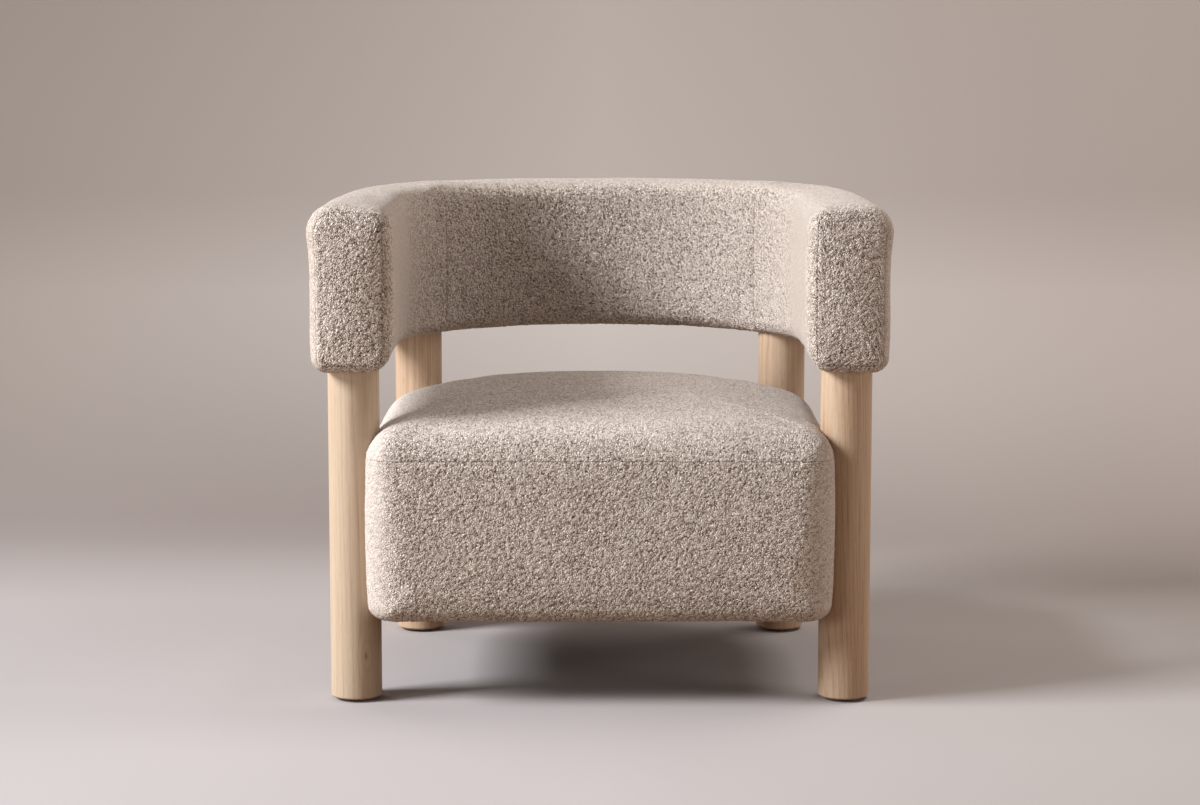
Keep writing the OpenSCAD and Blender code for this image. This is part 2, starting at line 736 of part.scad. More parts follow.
// Two screws that rise into each saddle block and two that drop into it
module saddle_screw_places() {
    for (side = [-1, 1])
        translate([saddle_back - saddle_l / 3, side * saddle_w / 4, 0]) {
            translate([0, 0, seat_frame_z]) children();
            translate([0, 0, upper_frame_z + plate_t]) mirror([0, 0, 1]) children();
        }
}
module seat_lower_frame() {
    color("tan")
        difference() {
            seat_plate(seat_frame_z);
            at_each_leg(0) saddle_screw_places() screw_hole();
        }
}
module seat_upper_frame() {
    color("tan")
        difference() {
            seat_plate(upper_frame_z);
            at_each_leg(0) saddle_screw_places() screw_hole();
        }
}
// A block with a hollow face that bears on its leg, drawn with X towards the seat
module saddle() {
    face = leg_off + cover_t + soft_gap;
    hollow = (leg_r + soft_gap + cover_t) * notch_grow + soft_gap;
    color("wheat")
        difference() {
            union() {
                difference() {
                    translate([face, -saddle_w / 2, saddle_z]) cube([saddle_back - face, saddle_w, saddle_h]);
                    translate([0, 0, saddle_z - over]) cylinder(h = saddle_h + 2 * over, r = hollow);
                }
                translate([leg_off, -saddle_nose_w / 2, saddle_z])
                    cube([saddle_back - leg_off, saddle_nose_w, saddle_h]);
            }
            translate([0, 0, saddle_z - over]) cylinder(h = saddle_h + 2 * over, r = leg_r + slip);
            saddle_screw_places() screw_hole();
            at_bolts() cylinder(h = saddle_back + over, r = seat_bolt_d / 2 + slip);
        }
}
module saddle_screws() {
    color("goldenrod") at_each_leg(0) saddle_screw_places() screw();
}
module seat_bolt() {
    translate([0, 0, bolt_tip]) cylinder(h = saddle_back - bolt_tip, d = seat_bolt_d);
    translate([0, 0, saddle_back]) cylinder(h = seat_head_t, d = seat_head_d);
}
module seat_bolts() {
    color("silver") at_each_leg(0) at_bolts() seat_bolt();
}
module leg_sleeve() {
    translate([0, 0, leg_r - sleeve_set - sleeve_l])
        difference() {
            cylinder(h = sleeve_l, d = sleeve_d);
            translate([0, 0, -over]) cylinder(h = sleeve_l + 2 * over, r = seat_bolt_d / 2 + slip);
        }
}
module leg_sleeves() {
    color("gold") at_each_leg(0) at_bolts() leg_sleeve();
}
// The thin boards and pads run from one hollow to the next
front_end_i = first_leg_i;
side_start_i = first_leg_i + notch_steps;
side_end_i = second_leg_i;
rear_start_i = second_leg_i + notch_steps;
module seat_board(i_from, i_to) {
    color("peru")
        along_seat(i_from, i_to, pad_in + pad_t, seat_frame_in, seat_board_z, strap_z - seat_board_z);
}
module seat_pad(i_from, i_to) {
    z = seat_low + seat_low_r;
    color("khaki") along_seat(i_from, i_to, pad_in, pad_in + pad_t, z, strap_z - z);
}
module seat_side_pads() {
    seat_pad(-front_end_i + 1, front_end_i - 1);
    on_both() seat_pad(side_start_i, side_end_i);
    seat_pad(rear_start_i, 2 * half_count - 2 - rear_start_i);
}

// The springing and padding of the seat
strap_span = (seat_half - seat_frame_in) * 2 * strap_reach_share;
seat_depth = seat_back_cy + seat_back_r - seat_front_y;
strap_run = (seat_depth - 2 * seat_frame_in) * strap_reach_share;
strap_side_step = (seat_half - seat_frame_in) * frame_hole_share;
strap_run_step = (seat_depth / 2 - seat_frame_in) * frame_hole_share;
// A strap of a length that lies high or low where it crosses the others
module strap(length, places, first_high) {
    levels = [for (i = [0:len(places) - 1]) (i + first_high) % 2 * strap_step];
    half = strap_w / 2 + over;
    low_side = [
        [-length / 2, 0],
        for (i = [0:len(places) - 1])
            each [[places[i] - half, levels[i]], [places[i] + half, levels[i]]],
        [length / 2, 0]
    ];
    high_side = [for (p = low_side) p + [0, strap_t]];
    translate([0, strap_w / 2, 0])
        rotate([90, 0, 0])
            linear_extrude(height = strap_w)
                polygon(concat(low_side, turned(high_side)));
}
module seat_webbing() {
    cross = [for (share = strap_shares) share * strap_side_step];
    run = [for (share = strap_shares) share * strap_run_step];
    color("black")
        translate([seat_mid.x, seat_mid.y, strap_z]) {
            for (i = [0:len(run) - 1]) translate([0, run[i], 0]) strap(strap_span, cross, i % 2);
            for (i = [0:len(cross) - 1])
                translate([cross[i], 0, 0]) rotate([0, 0, 90]) strap(strap_run, run, (i + 1) % 2);
        }
}
module seat_foam() {
    outline = [for (i = [0:outline_count - 1]) seat_point(i, 0, pad_in)];
    color("khaki")
        translate([0, 0, foam_z])
            linear_extrude(height = seat_seam - soft_gap - foam_z)
                polygon(outline);
}
module seat_topper() {
    rings = top_rings(pad_in);
    color("khaki")
        capped(
            rings,
            [seat_mid.x, seat_mid.y, seat_seam],
            [seat_mid.x, seat_mid.y, crown_z(0, pad_in)],
            lean = true
        );
}

// The covers of the seat
module seat_top_cover() {
    color("antiquewhite")
        capped(
            concat(turned(top_rings(cover_t)), top_rings(0)),
            [seat_mid.x, seat_mid.y, crown_z(0, cover_t)],
            [seat_mid.x, seat_mid.y, crown_z(0, 0)]
        );
}
module seat_panel(i_from, i_to) {
    color("tan") sheet([for (i = [i_from:i_to]) side_loop(i)]);
}
module seat_side_panel() {
    seat_panel(side_start_i - nose_steps, side_end_i + nose_steps);
}
module seat_dust_cloth() {
    outline = [
        for (i = [0:outline_count - 1]) seat_point(i, seat_frame_in, 0)
    ];
    inset = (seat_low_r + seat_turn_in + soft_gap - seat_frame_in) / (seat_half - seat_frame_in);
    color("black")
        translate([0, 0, seat_frame_z - dust_cloth_t])
            linear_extrude(height = dust_cloth_t)
                polygon([for (p = outline) seat_mid + (p - seat_mid) * (1 - inset)]);
}

on_left() at_front_leg(0) leg();  // front_leg_left
at_front_leg(0) leg();  // front_leg_right
on_left() at_rear_leg(0) leg();  // rear_leg_left
at_rear_leg(0) leg();  // rear_leg_right
on_left() at_front_leg(0) glide();  // front_glide_left
at_front_leg(0) glide();  // front_glide_right
on_left() at_rear_leg(0) glide();  // rear_glide_left
at_rear_leg(0) glide();  // rear_glide_right
at_each_leg(0) glide_nail();  // glide_nails
at_each_leg(0) leg_bolt();  // leg_bolts
at_each_leg(0) leg_tee_nut();  // leg_tee_nuts
back_lower_plate();
back_upper_plate();
on_left() front_rib();  // front_rib_left
front_rib();  // front_rib_right
on_left() arm_rib();  // arm_rib_left
arm_rib();  // arm_rib_right
on_left() corner_rib();  // corner_rib_left
corner_rib();  // corner_rib_right
centre_rib();
rib_screws();
inner_board();
outer_board();
inner_pad();
outer_pad();
top_pad();
on_left() arm_front_pad();  // arm_front_pad_left
arm_front_pad();  // arm_front_pad_right
back_cover();
on_left() arm_cover();  // arm_cover_left
arm_cover();  // arm_cover_right
on_left() arm_facing();  // arm_facing_left
arm_facing();  // arm_facing_right
underside_cloth();
seat_lower_frame();
seat_upper_frame();
on_left() at_front_leg(0) saddle();  // front_saddle_left
at_front_leg(0) saddle();  // front_saddle_right
on_left() at_rear_leg(0) saddle();  // rear_saddle_left
at_rear_leg(0) saddle();  // rear_saddle_right
saddle_screws();
seat_bolts();
leg_sleeves();
seat_board(-front_end_i, front_end_i);  // seat_front_board
on_left() seat_board(side_start_i, side_end_i);  // seat_side_board_left
seat_board(side_start_i, side_end_i);  // seat_side_board_right
seat_board(rear_start_i, 2 * half_count - 2 - rear_start_i);  // seat_rear_board
seat_side_pads();
seat_webbing();
seat_foam();
seat_topper();
seat_top_cover();
seat_panel(-front_end_i - nose_steps, front_end_i + nose_steps);  // seat_front_panel
on_left() seat_side_panel();  // seat_side_panel_left
seat_side_panel();  // seat_side_panel_right
seat_panel(rear_start_i - nose_steps, 2 * half_count - 2 - rear_start_i + nose_steps);  // seat_rear_panel
seat_dust_cloth();
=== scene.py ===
import math

import bpy
import numpy as np
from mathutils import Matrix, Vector, noise
from mathutils.kdtree import KDTree


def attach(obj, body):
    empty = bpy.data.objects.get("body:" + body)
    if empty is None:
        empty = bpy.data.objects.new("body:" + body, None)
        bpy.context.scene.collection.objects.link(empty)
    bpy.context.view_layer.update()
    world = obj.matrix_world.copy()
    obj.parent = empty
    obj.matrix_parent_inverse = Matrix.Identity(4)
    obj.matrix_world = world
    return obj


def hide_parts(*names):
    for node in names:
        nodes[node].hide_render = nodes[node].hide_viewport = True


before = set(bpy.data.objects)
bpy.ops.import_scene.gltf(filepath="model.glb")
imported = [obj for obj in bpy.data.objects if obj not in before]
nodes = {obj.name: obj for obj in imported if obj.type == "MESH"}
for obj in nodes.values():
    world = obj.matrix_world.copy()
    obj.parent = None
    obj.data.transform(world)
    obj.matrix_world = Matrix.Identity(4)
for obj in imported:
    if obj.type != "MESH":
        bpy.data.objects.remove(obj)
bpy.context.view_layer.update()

scene = bpy.context.scene
scene.view_settings.view_transform = "Standard"
noise.seed_set(1)  # so that the curls bend the same way in each run

# Sizes are in millimetres up to the making of a mesh, which is in metres
MM = 0.001
CELL = 8.9  # side of a coarse cell
FINE = 4  # fine cells in each coarse one, along either side
COVER_T = 3.0  # thickness of a cover

# The band is the arms and the back. Seen from above, its middle line is straight along an arm up to TURN_Y,
# where it turns into an arc about (SIDE_SET, TURN_Y), and then into one about (0, TURN_Y - BACK_SET)
BAND_LOW, BAND_H = 470.0, 230.0
HALF_T = 55.5  # half its thickness
ARM_X, ARM_FRONT = 345.0, -352.75
TURN_Y = -8.75
SIDE_SET, BACK_SET = 25.0, 76.0
SIDE_R = ARM_X - SIDE_SET
BACK_R = SIDE_R + math.hypot(SIDE_SET, BACK_SET)
SIDE_END = math.pi / 2 - math.atan2(SIDE_SET, BACK_SET)
REAR_TURN = math.radians(36.5)  # where the rear legs stand on the side arcs

# The band's section, across which u runs outwards from the middle line
OUTER_R, INNER_R, LOW_R = 38.0, 26.0, 22.0  # radii of its upper edges and of its lower ones
BAND_BELLY = 1.8  # how far its faces swell
LIP = 22.2  # half the opening in its underside
CREST_U, CREST_HALF = -6.0, 30.0  # the middle of its swollen top, and how far from there the swelling ends
SECTION_POINTS = 600
SECTION_LENGTH = 591.0  # along it, from one lip to the other

# An arm has a fuller outer shoulder than the back, a flatter outer face and a rounder lower inner edge
SHOULDER, SHOULDER_REACH = 5.5, 46.0
ARM_FLATTER = 0.8  # the share of the swelling that its outer face lacks
ARM_ROUNDER = 9.0
ARM_FADE = (-190, 60)  # along the band from its turn, where the arm becomes the back

# An arm's front, whose rounded edge the facing's seam runs along
FRONT_R = 20.0
FACE_SEAM = math.radians(60)  # how far round the edge the seam is, from the arm's sides
FACE_SEAM_STEP = 0.012  # from the seam to the facing, in radians
FACE_BELLY, FACE_ROUND = 4.0, 2.2  # the facing's swelling, and how flat its middle is
FACE_WIDE, FACE_DEEP = 8, 20  # coarse cells
FACE_CORNER = 6.0  # in from its lower inner corner, where its grid starts
EDGE_LIP, LIP_RUN = 0.4, 6.0  # the opening closes towards the front, to this, over this length

# The legs
LEG_R = 36.0
FRONT_LEG = np.array([ARM_X, -290.75])
REAR_LEG = np.array([SIDE_SET + SIDE_R * math.cos(REAR_TURN), TURN_Y + SIDE_R * math.sin(REAR_TURN)])

# The seat. Seen from above, its sides are straight up to SEAT_SIDE_Y, where they turn into arcs about
# (CURVE_SET, SEAT_SIDE_Y), and then into one about (0, SEAT_BACK_Y)
SEAT_HALF, SEAT_FRONT = 326.0, -370.75
SEAT_LOW, SEAT_SEAM = 122.0, 350.0  # heights of its underside and of its seam
CORNER_R, EDGE_R, SEAT_LOW_R = 46.67, 46.0, 22.0  # radii of its front corners, upper edge and lower edge
SEAT_IN = 40.0  # how far a side panel is folded under the seat
CROWN, SEAT_BELLY = 25.0, 2.5  # how far its top and its sides swell
CURVE_SET, CURVE_BACK = 56.0, 182.0
ROUND_END = math.radians(80)  # how far round the upper edge the crown starts
SEAT_TURN_R = SEAT_HALF - CURVE_SET
LEG_OFF = ARM_X - SEAT_HALF  # how far a leg's middle stands off the seat's side
SEAT_SIDE_Y = REAR_LEG[1] - math.sqrt((SEAT_TURN_R + LEG_OFF) ** 2 - (REAR_LEG[0] - CURVE_SET) ** 2)
SEAT_BACK_Y = SEAT_SIDE_Y - CURVE_BACK
SEAT_BACK_R = SEAT_TURN_R + math.hypot(CURVE_SET, CURVE_BACK)
TOP_CELLS, EDGE_ROWS = 64, 7  # coarse cells along a side of the seat's top, and across its rounded edge
TOP_CORNER = 14.0  # in from the front left corner, where the top's grid starts
SIDE_LENGTH = 281.0  # down a side panel
LINE_SAMPLES = 20000

# The seat's front corners are fuller up to the seam, and slope in above it
LOBE_REACH, LOBE_FULL, LOBE_SLOPE = 85.0, 2.2, 1.6
LOBE_RISE = 200.0  # from the underside to where they are full

# Where the seat's covers meet the legs
LEG_GAP = 0.3
SOFT_NEAR, SOFT_FAR = 10, 30  # from a leg, the distances at which softening begins and has ended fading
SOFTENING = 5  # passes of it, at the coarse cells
NOTCH_HALF = math.acos((LEG_OFF - SEAT_BELLY) / (LEG_R + LEG_GAP))  # half a leg's angle in the seat's side
NOSE = (LEG_OFF - SEAT_BELLY) * math.tan(NOTCH_HALF * 3 / 7)  # from a leg's middle to the end of a panel

# Below this height a point is the seat's, and above it the band's
SPLIT_Z = BAND_LOW - 20


def srgb(*c):
    """A colour given as 0 to 255 in sRGB, as linear RGBA."""
    return tuple(((x / 255 + 0.055) / 1.055) ** 2.4 if x > 10 else x / 255 / 12.92 for x in c) + (1.0,)


# Shapes


def resample(points, count, closed=False):
    """count points spaced evenly along a polyline given as an array."""
    p = np.asarray(points, float)
    if closed:
        p = np.vstack([p, p[:1]])
    s = np.concatenate([[0], np.cumsum(np.linalg.norm(np.diff(p, axis=0), axis=1))])
    t = np.linspace(0, s[-1], count, endpoint=not closed)
    return np.column_stack([np.interp(t, s, p[:, k]) for k in range(p.shape[1])])


def arc(cx, cz, r, a, b, steps=24):
    """Points on an arc about (cx, cz), from a to b degrees."""
    t = np.radians(np.linspace(a, b, steps))
    return np.column_stack([cx + r * np.cos(t), cz + r * np.sin(t)])


def section(depth, lip, swell, arm=0.0):
    """The band's outline at a depth under its outer face, as a fine polyline of [u, height]. The share arm
    makes it an arm's: its upper outer shoulder is fuller, and its lower inner edge rounder."""
    low_in = LOW_R + ARM_ROUNDER * arm
    low, out, inn = HALF_T - LOW_R, HALF_T - OUTER_R, HALF_T - INNER_R
    p = np.vstack([
        [[lip, depth]],
        arc(low, LOW_R, LOW_R - depth, -90, 0),
        arc(out, BAND_H - OUTER_R, OUTER_R - depth, 0, 90),
        arc(-inn, BAND_H - INNER_R, INNER_R - depth, 90, 180),
        arc(low_in - HALF_T, low_in, low_in - depth, 180, 270),
        [[-lip, depth]],
    ])
    fine = resample(p, SECTION_POINTS)
    rise = np.clip((fine[:, 1] - LOW_R) / (BAND_H - INNER_R - LOW_R), 0, 1)
    side = np.where(fine[:, 0] > 0, 1 - ARM_FLATTER * arm, -1)
    fine[:, 0] += side * swell * np.sin(np.pi * rise)
    top = np.clip(1 - np.abs(fine[:, 0] - CREST_U) / CREST_HALF, 0, 1) * (fine[:, 1] > BAND_H / 2)
    fine[:, 1] += swell * np.sin(np.pi / 2 * top)
    along = np.gradient(fine, axis=0)
    step = np.linalg.norm(along, axis=1)
    corner = np.array([out, BAND_H - OUTER_R]) + (OUTER_R - depth) * math.sqrt(0.5)
    length = np.cumsum(step)
    away = length - length[np.argmin(np.linalg.norm(fine - corner, axis=1))]
    outwards = np.column_stack([along[:, 1], -along[:, 0]]) / step[:, None]
    return fine + SHOULDER * arm * np.exp(-(away / SHOULDER_REACH) ** 2)[:, None] * outwards


def frame_at(s):
    """[x, y, normal angle] of the right half's middle line, s along it from where the arm turns."""
    if s <= 0:
        return ARM_X, TURN_Y + s, 0.0
    a = s / SIDE_R
    if a > SIDE_END:
        a = SIDE_END + (s - SIDE_END * SIDE_R) / BACK_R
        return BACK_R * math.cos(a), TURN_Y - BACK_SET + BACK_R * math.sin(a), a
    return SIDE_SET + SIDE_R * math.cos(a), TURN_Y + SIDE_R * math.sin(a), a


def placed(f, uz):
    """Points [u, height] of a section, placed at frame f of the middle line."""
    return np.column_stack([
        f[0] + uz[:, 0] * math.cos(f[2]), f[1] + uz[:, 0] * math.sin(f[2]), BAND_LOW + uz[:, 1],
    ])


def smooth(x, lo, hi):
    """0 below lo, 1 above hi, and a soft step between them."""
    t = np.clip((np.asarray(x, float) - lo) / (hi - lo), 0, 1)
    return t * t * (3 - 2 * t)


# Lengths along the middle line, from where an arm turns: the back's seam and the middle of the back
SEAM_S = SIDE_R * REAR_TURN
BACK_S = SIDE_END * SIDE_R + (math.pi / 2 - SIDE_END) * BACK_R
ARM_STRAIGHT = TURN_Y - ARM_FRONT - FRONT_R
FACE_TURN = FRONT_R * FACE_SEAM
ARM_LENGTH = FACE_TURN + ARM_STRAIGHT + SEAM_S


def edge_section(a, lip):
    """(section, depth, frame) of the rounded edge around an arm's face, at angle a from its side."""
    depth = FRONT_R * (1 - math.cos(a))
    line = section(depth, lip, BAND_BELLY * math.cos(a), math.cos(a))
    return line, depth, (ARM_X, ARM_FRONT + FRONT_R * (1 - math.sin(a)), 0.0)


def arm_rows(rows, cols):
    """The right arm's cover, from its facing's seam to the back's."""
    out = []
    for s in np.linspace(0, ARM_LENGTH, rows):
        if s < FACE_TURN:
            line, _, f = edge_section(FACE_SEAM - s / FRONT_R, EDGE_LIP)
        else:
            along = s - FACE_TURN - ARM_STRAIGHT
            lip = EDGE_LIP + (LIP - EDGE_LIP) * float(smooth(s - FACE_TURN, 0, LIP_RUN))
            line = section(0, lip, BAND_BELLY, 1 - float(smooth(along, *ARM_FADE)))
            f = frame_at(along)
        out.append(placed(f, resample(line, cols)))
    return np.array(out)


def back_rows(rows, cols):
    """The back's cover, from the right seam to the left one."""
    out = []
    for s in np.linspace(SEAM_S, 2 * BACK_S - SEAM_S, rows):
        far = s > BACK_S
        x, y, a = frame_at(2 * BACK_S - s if far else s)
        f = (-x, y, math.pi - a) if far else (x, y, a)
        out.append(placed(f, resample(section(0, LIP, BAND_BELLY), cols)))
    return np.array(out)


def seat_line():
    """The seat's outline as [x, y, nx, ny], finely, from the middle of its front and anticlockwise seen
    from above."""
    half = [[0, SEAT_FRONT, 0, -1], [SEAT_HALF - CORNER_R, SEAT_FRONT, 0, -1]]

    def add(cx, cy, r, a, b):
        for t in np.radians(np.linspace(a, b, 60)):
            half.append([cx + r * math.cos(t), cy + r * math.sin(t), math.cos(t), math.sin(t)])

    add(SEAT_HALF - CORNER_R, SEAT_FRONT + CORNER_R, CORNER_R, -90, 0)
    end = 90 - math.degrees(math.atan2(CURVE_SET, CURVE_BACK))
    add(CURVE_SET, SEAT_SIDE_Y, SEAT_TURN_R, 0, end)
    add(0, SEAT_BACK_Y, SEAT_BACK_R, end, 90)
    half = np.array(half)
    other = half[-2:0:-1] * [-1, 1, -1, 1]
    return np.vstack([half, other])


SEAT_LINE = seat_line()
closed_line = np.vstack([SEAT_LINE, SEAT_LINE[:1]])
LINE_S = np.concatenate([[0], np.cumsum(np.linalg.norm(np.diff(closed_line[:, :2], axis=0), axis=1))])
SEAT_AROUND = LINE_S[-1]
LEGS = [FRONT_LEG, REAR_LEG, FRONT_LEG * [-1, 1], REAR_LEG * [-1, 1]]


def seat_at(s):
    """Points and normals of the outline at lengths s along it."""
    s = np.mod(s, SEAT_AROUND)
    p = np.column_stack([np.interp(s, LINE_S, closed_line[:, k]) for k in range(4)])
    p[:, 2:] /= np.linalg.norm(p[:, 2:], axis=1)[:, None]
    return p


def clear_of_legs(p, r):
    """Points moved out of the circles of radius r about the legs."""
    for leg in LEGS:
        away = p - leg
        d = np.linalg.norm(away, axis=1)[:, None]
        p = np.where(d < r, leg + away * r / np.maximum(d, 1e-6), p)
    return p


def seat_ring(s, inset, closed, full=1.0, slope=0.0):
    """The outline at lengths s, drawn in by inset, kept clear of the legs, its corners there softened.
    Towards the front corners it is fuller by the share full, and slopes in by the share slope."""
    q = seat_at(s)
    corner = np.column_stack([np.abs(q[:, 0]) - SEAT_HALF, q[:, 1] - SEAT_FRONT])
    lobe = np.exp(-(np.linalg.norm(corner, axis=1) / LOBE_REACH) ** 2)[:, None]
    p = q[:, :2] - (inset + lobe * (LOBE_SLOPE * slope - LOBE_FULL * full)) * q[:, 2:]
    reach = LEG_R + LEG_GAP
    p = clear_of_legs(p, reach)
    step = SEAT_AROUND / len(s) if closed else abs(s[1] - s[0])
    near = np.min([np.linalg.norm(p - leg, axis=1) for leg in LEGS], axis=0)
    weight = (0.5 * (1 - smooth(near, reach + SOFT_NEAR, reach + SOFT_FAR)))[:, None]
    for _ in range(int(SOFTENING * (CELL / step) ** 1.5)):
        mean = (np.roll(p, 1, axis=0) + np.roll(p, -1, axis=0)) / 2
        if not closed:
            mean[0], mean[-1] = p[0], p[-1]
        p = p + weight * (mean - p)
    return clear_of_legs(p, reach)


def length_at(point):
    """How far along the outline its point nearest to a place is."""
    s = np.linspace(0, SEAT_AROUND, LINE_SAMPLES)
    return s[np.argmin(np.linalg.norm(seat_at(s)[:, :2] - point, axis=1))]


SIDE_PATH = np.vstack([
    [[0, SEAT_SEAM]],
    [[0, SEAT_LOW + SEAT_LOW_R]],
    np.column_stack([
        SEAT_LOW_R * (1 - np.cos(np.linspace(0, np.pi / 2, 20))),
        SEAT_LOW + SEAT_LOW_R * (1 - np.sin(np.linspace(0, np.pi / 2, 20))),
    ]),
    [[SEAT_LOW_R + SEAT_IN, SEAT_LOW]],
])


def panel_rows(start, end, rows, cols):
    """A panel of the seat's sides between two lengths along the outline, from the seam down."""
    path = resample(SIDE_PATH, rows)
    s = np.linspace(start, end, cols)
    out = []
    for inset, z in path:
        rise = np.clip((z - SEAT_LOW - SEAT_LOW_R) / (SEAT_SEAM - SEAT_LOW - SEAT_LOW_R), 0, 1)
        swell = SEAT_BELLY * math.sin(math.pi * rise) if 0 < rise < 1 else 0
        full = float(np.clip((z - SEAT_LOW) / LOBE_RISE, 0, 1))
        ring = seat_ring(s, inset - swell, False, full)
        out.append(np.column_stack([ring, np.full(cols, z)]))
    return np.array(out)


# Meshes


def grid(points, sewn):
    """(vertices, faces, rim, sewn rim) of a grid of points, rows by columns. The rim runs round its border,
    and sewn says of the first row, last column, last row and first column whether a seam runs there."""
    rows, cols, _ = points.shape
    i, j = np.meshgrid(np.arange(rows - 1), np.arange(cols - 1), indexing="ij")
    a = (i * cols + j).ravel()
    faces = np.column_stack([a, a + 1, a + cols + 1, a + cols])
    edges = [
        np.arange(cols - 1),
        np.arange(rows - 1) * cols + cols - 1,
        (rows - 1) * cols + np.arange(cols - 1, 0, -1),
        np.arange(rows - 1, 0, -1) * cols,
    ]
    seam = np.concatenate([edge for edge, has in zip(edges, sewn) if has])
    return points.reshape(-1, 3), faces, np.concatenate(edges), seam


def dome(rings, wide, deep, inner):
    """(vertices, faces, rim, sewn rim) of closed rings of 2 * (wide + deep) points, from the rim inwards,
    filled with a grid of wide by deep cells. inner(share, index) places what lies inside the last ring, at
    a share of the way from its middle to one of its points."""
    around = 2 * (wide + deep)
    count = len(rings)
    verts = [np.vstack(rings)]
    k = np.arange(around)
    faces = [
        np.column_stack([r * around + k, r * around + (k + 1) % around,
                         (r + 1) * around + (k + 1) % around, (r + 1) * around + k])
        for r in range(count - 1)
    ]
    index = np.full((deep + 1, wide + 1), -1)
    base = (count - 1) * around
    border = (
        [(0, c) for c in range(wide)] + [(r, wide) for r in range(deep)]
        + [(deep, c) for c in range(wide, 0, -1)] + [(r, 0) for r in range(deep, 0, -1)]
    )
    for n, (r, c) in enumerate(border):
        index[r, c] = base + n
    shares, places = [], []
    for r in range(1, deep):
        for c in range(1, wide):
            a, b = 2 * c / wide - 1, 2 * r / deep - 1
            m = max(abs(a), abs(b))
            index[r, c] = base + around + len(shares)
            shares.append(m)
            if m == 0:
                places.append(0.0)
                continue
            a, b = a / m, b / m
            if b == -1:
                t = (a + 1) / 2 * wide
            elif a == 1:
                t = wide + (b + 1) / 2 * deep
            elif b == 1:
                t = wide + deep + (1 - a) / 2 * wide
            else:
                t = 2 * wide + deep + (1 - b) / 2 * deep
            places.append(t)
    verts.append(inner(np.array(shares), np.array(places)))
    i, j = np.meshgrid(np.arange(deep), np.arange(wide), indexing="ij")
    faces.append(np.column_stack([
        index[i, j].ravel(), index[i, j + 1].ravel(), index[i + 1, j + 1].ravel(), index[i + 1, j].ravel(),
    ]))
    return np.vstack(verts), np.vstack(faces), np.arange(around), np.arange(around)


def ring_value(ring, t):
    """Points of a closed ring at fractional indices t."""
    i = np.floor(t).astype(int) % len(ring)
    f = (t - np.floor(t))[:, None]
    return ring[i] * (1 - f) + ring[(i + 1) % len(ring)] * f


def facing(fine):
    """The sewn panel on the right arm's front."""
    wide, deep = FACE_WIDE * fine, FACE_DEEP * fine
    around = 2 * (wide + deep)
    rings = []
    for a in np.linspace(FACE_SEAM + FACE_SEAM_STEP, math.pi / 2, fine + 1):
        line, depth, f = edge_section(a, 0.0)
        # The ring starts at the lower inner corner and runs outwards, seen from the front
        even = resample(line[:-1], around, closed=True)
        corner = np.array([-HALF_T + depth + FACE_CORNER, depth + FACE_CORNER])
        even = np.roll(even, -int(np.argmin(np.linalg.norm(even - corner, axis=1))), axis=0)
        rings.append(placed(f, even))
    edge = rings[-1]
    mid = np.array([ARM_X, ARM_FRONT, BAND_LOW + BAND_H / 2])

    def inner(share, t):
        p = mid + (ring_value(edge, t) - mid) * share[:, None]
        p[:, 1] = ARM_FRONT - FACE_BELLY * (1 - share**FACE_ROUND)
        return p

    return dome(rings, wide, deep, inner)


def seat_top(fine):
    """The seat's top cover, from its seam over the rounded edge to the crown."""
    n = TOP_CELLS * fine
    around = 4 * n
    start = length_at(np.array([-SEAT_HALF + TOP_CORNER, SEAT_FRONT + TOP_CORNER]))
    s = start + np.arange(around) * SEAT_AROUND / around
    rings = []
    for a in np.linspace(0, ROUND_END, EDGE_ROWS * fine + 1):
        ring = seat_ring(s, EDGE_R * (1 - math.cos(a)), True, math.cos(a), math.sin(2 * a))
        rings.append(np.column_stack([ring, np.full(around, SEAT_SEAM + EDGE_R * math.sin(a))]))
    edge = rings[-1]
    mid = np.array([0, (SEAT_FRONT + SEAT_BACK_Y + SEAT_BACK_R) / 2, 0])
    level = SEAT_SEAM + EDGE_R * math.sin(ROUND_END)

    def inner(share, t):
        p = mid + (ring_value(edge, t) - mid) * share[:, None]
        p[:, 2] = level + CROWN * (1 - share**2)
        return p

    return dome(rings, n, n, inner)


def cells(length, fine):
    """How many points a grid has along a length."""
    return int(round(length / CELL)) * fine + 1


def arm_cover(fine):
    """The grid of the right arm's cover."""
    return grid(arm_rows(cells(ARM_LENGTH, fine), cells(SECTION_LENGTH, fine)), (True, False, True, False))


def back_cover(fine):
    """The grid of the back's cover."""
    rows = back_rows(cells(2 * (BACK_S - SEAM_S), fine), cells(SECTION_LENGTH, fine))
    return grid(rows, (True, False, True, False))


LEG_S = [length_at(leg) for leg in LEGS[:2]]  # where the right legs are along the seat's outline


def panel(start, end):
    """What builds the panel of the seat's sides between two lengths along the outline."""

    def build(fine):
        rows = panel_rows(start, end, cells(SIDE_LENGTH, fine), cells(abs(end - start), fine))
        return grid(rows, (True, False, False, False))

    return build


def new_mesh(name, verts, faces):
    """A mesh of vertices in millimetres, and of faces given as lists of their indices."""
    mesh = bpy.data.meshes.new(name)
    mesh.from_pydata((np.asarray(verts) * MM).tolist(), [], faces)
    mesh.update()
    return mesh


def new_object(name, mesh):
    """An object in the scene, at the origin."""
    ob = bpy.data.objects.new(name, mesh)
    scene.collection.objects.link(ob)
    return ob


def normals_of(verts, faces):
    """The normals of a surface at its vertices."""
    probe = new_mesh("probe", verts, faces.tolist())
    n = np.zeros(len(verts) * 3, np.float32)
    probe.vertex_normals.foreach_get("vector", n)
    bpy.data.meshes.remove(probe)
    return n.reshape(-1, 3).astype(float)


def tree_of(points):
    """A search tree of points."""
    tree = KDTree(len(points))
    for i, p in enumerate(points):
        tree.insert(p, i)
    tree.balance()
    return tree


# Filling

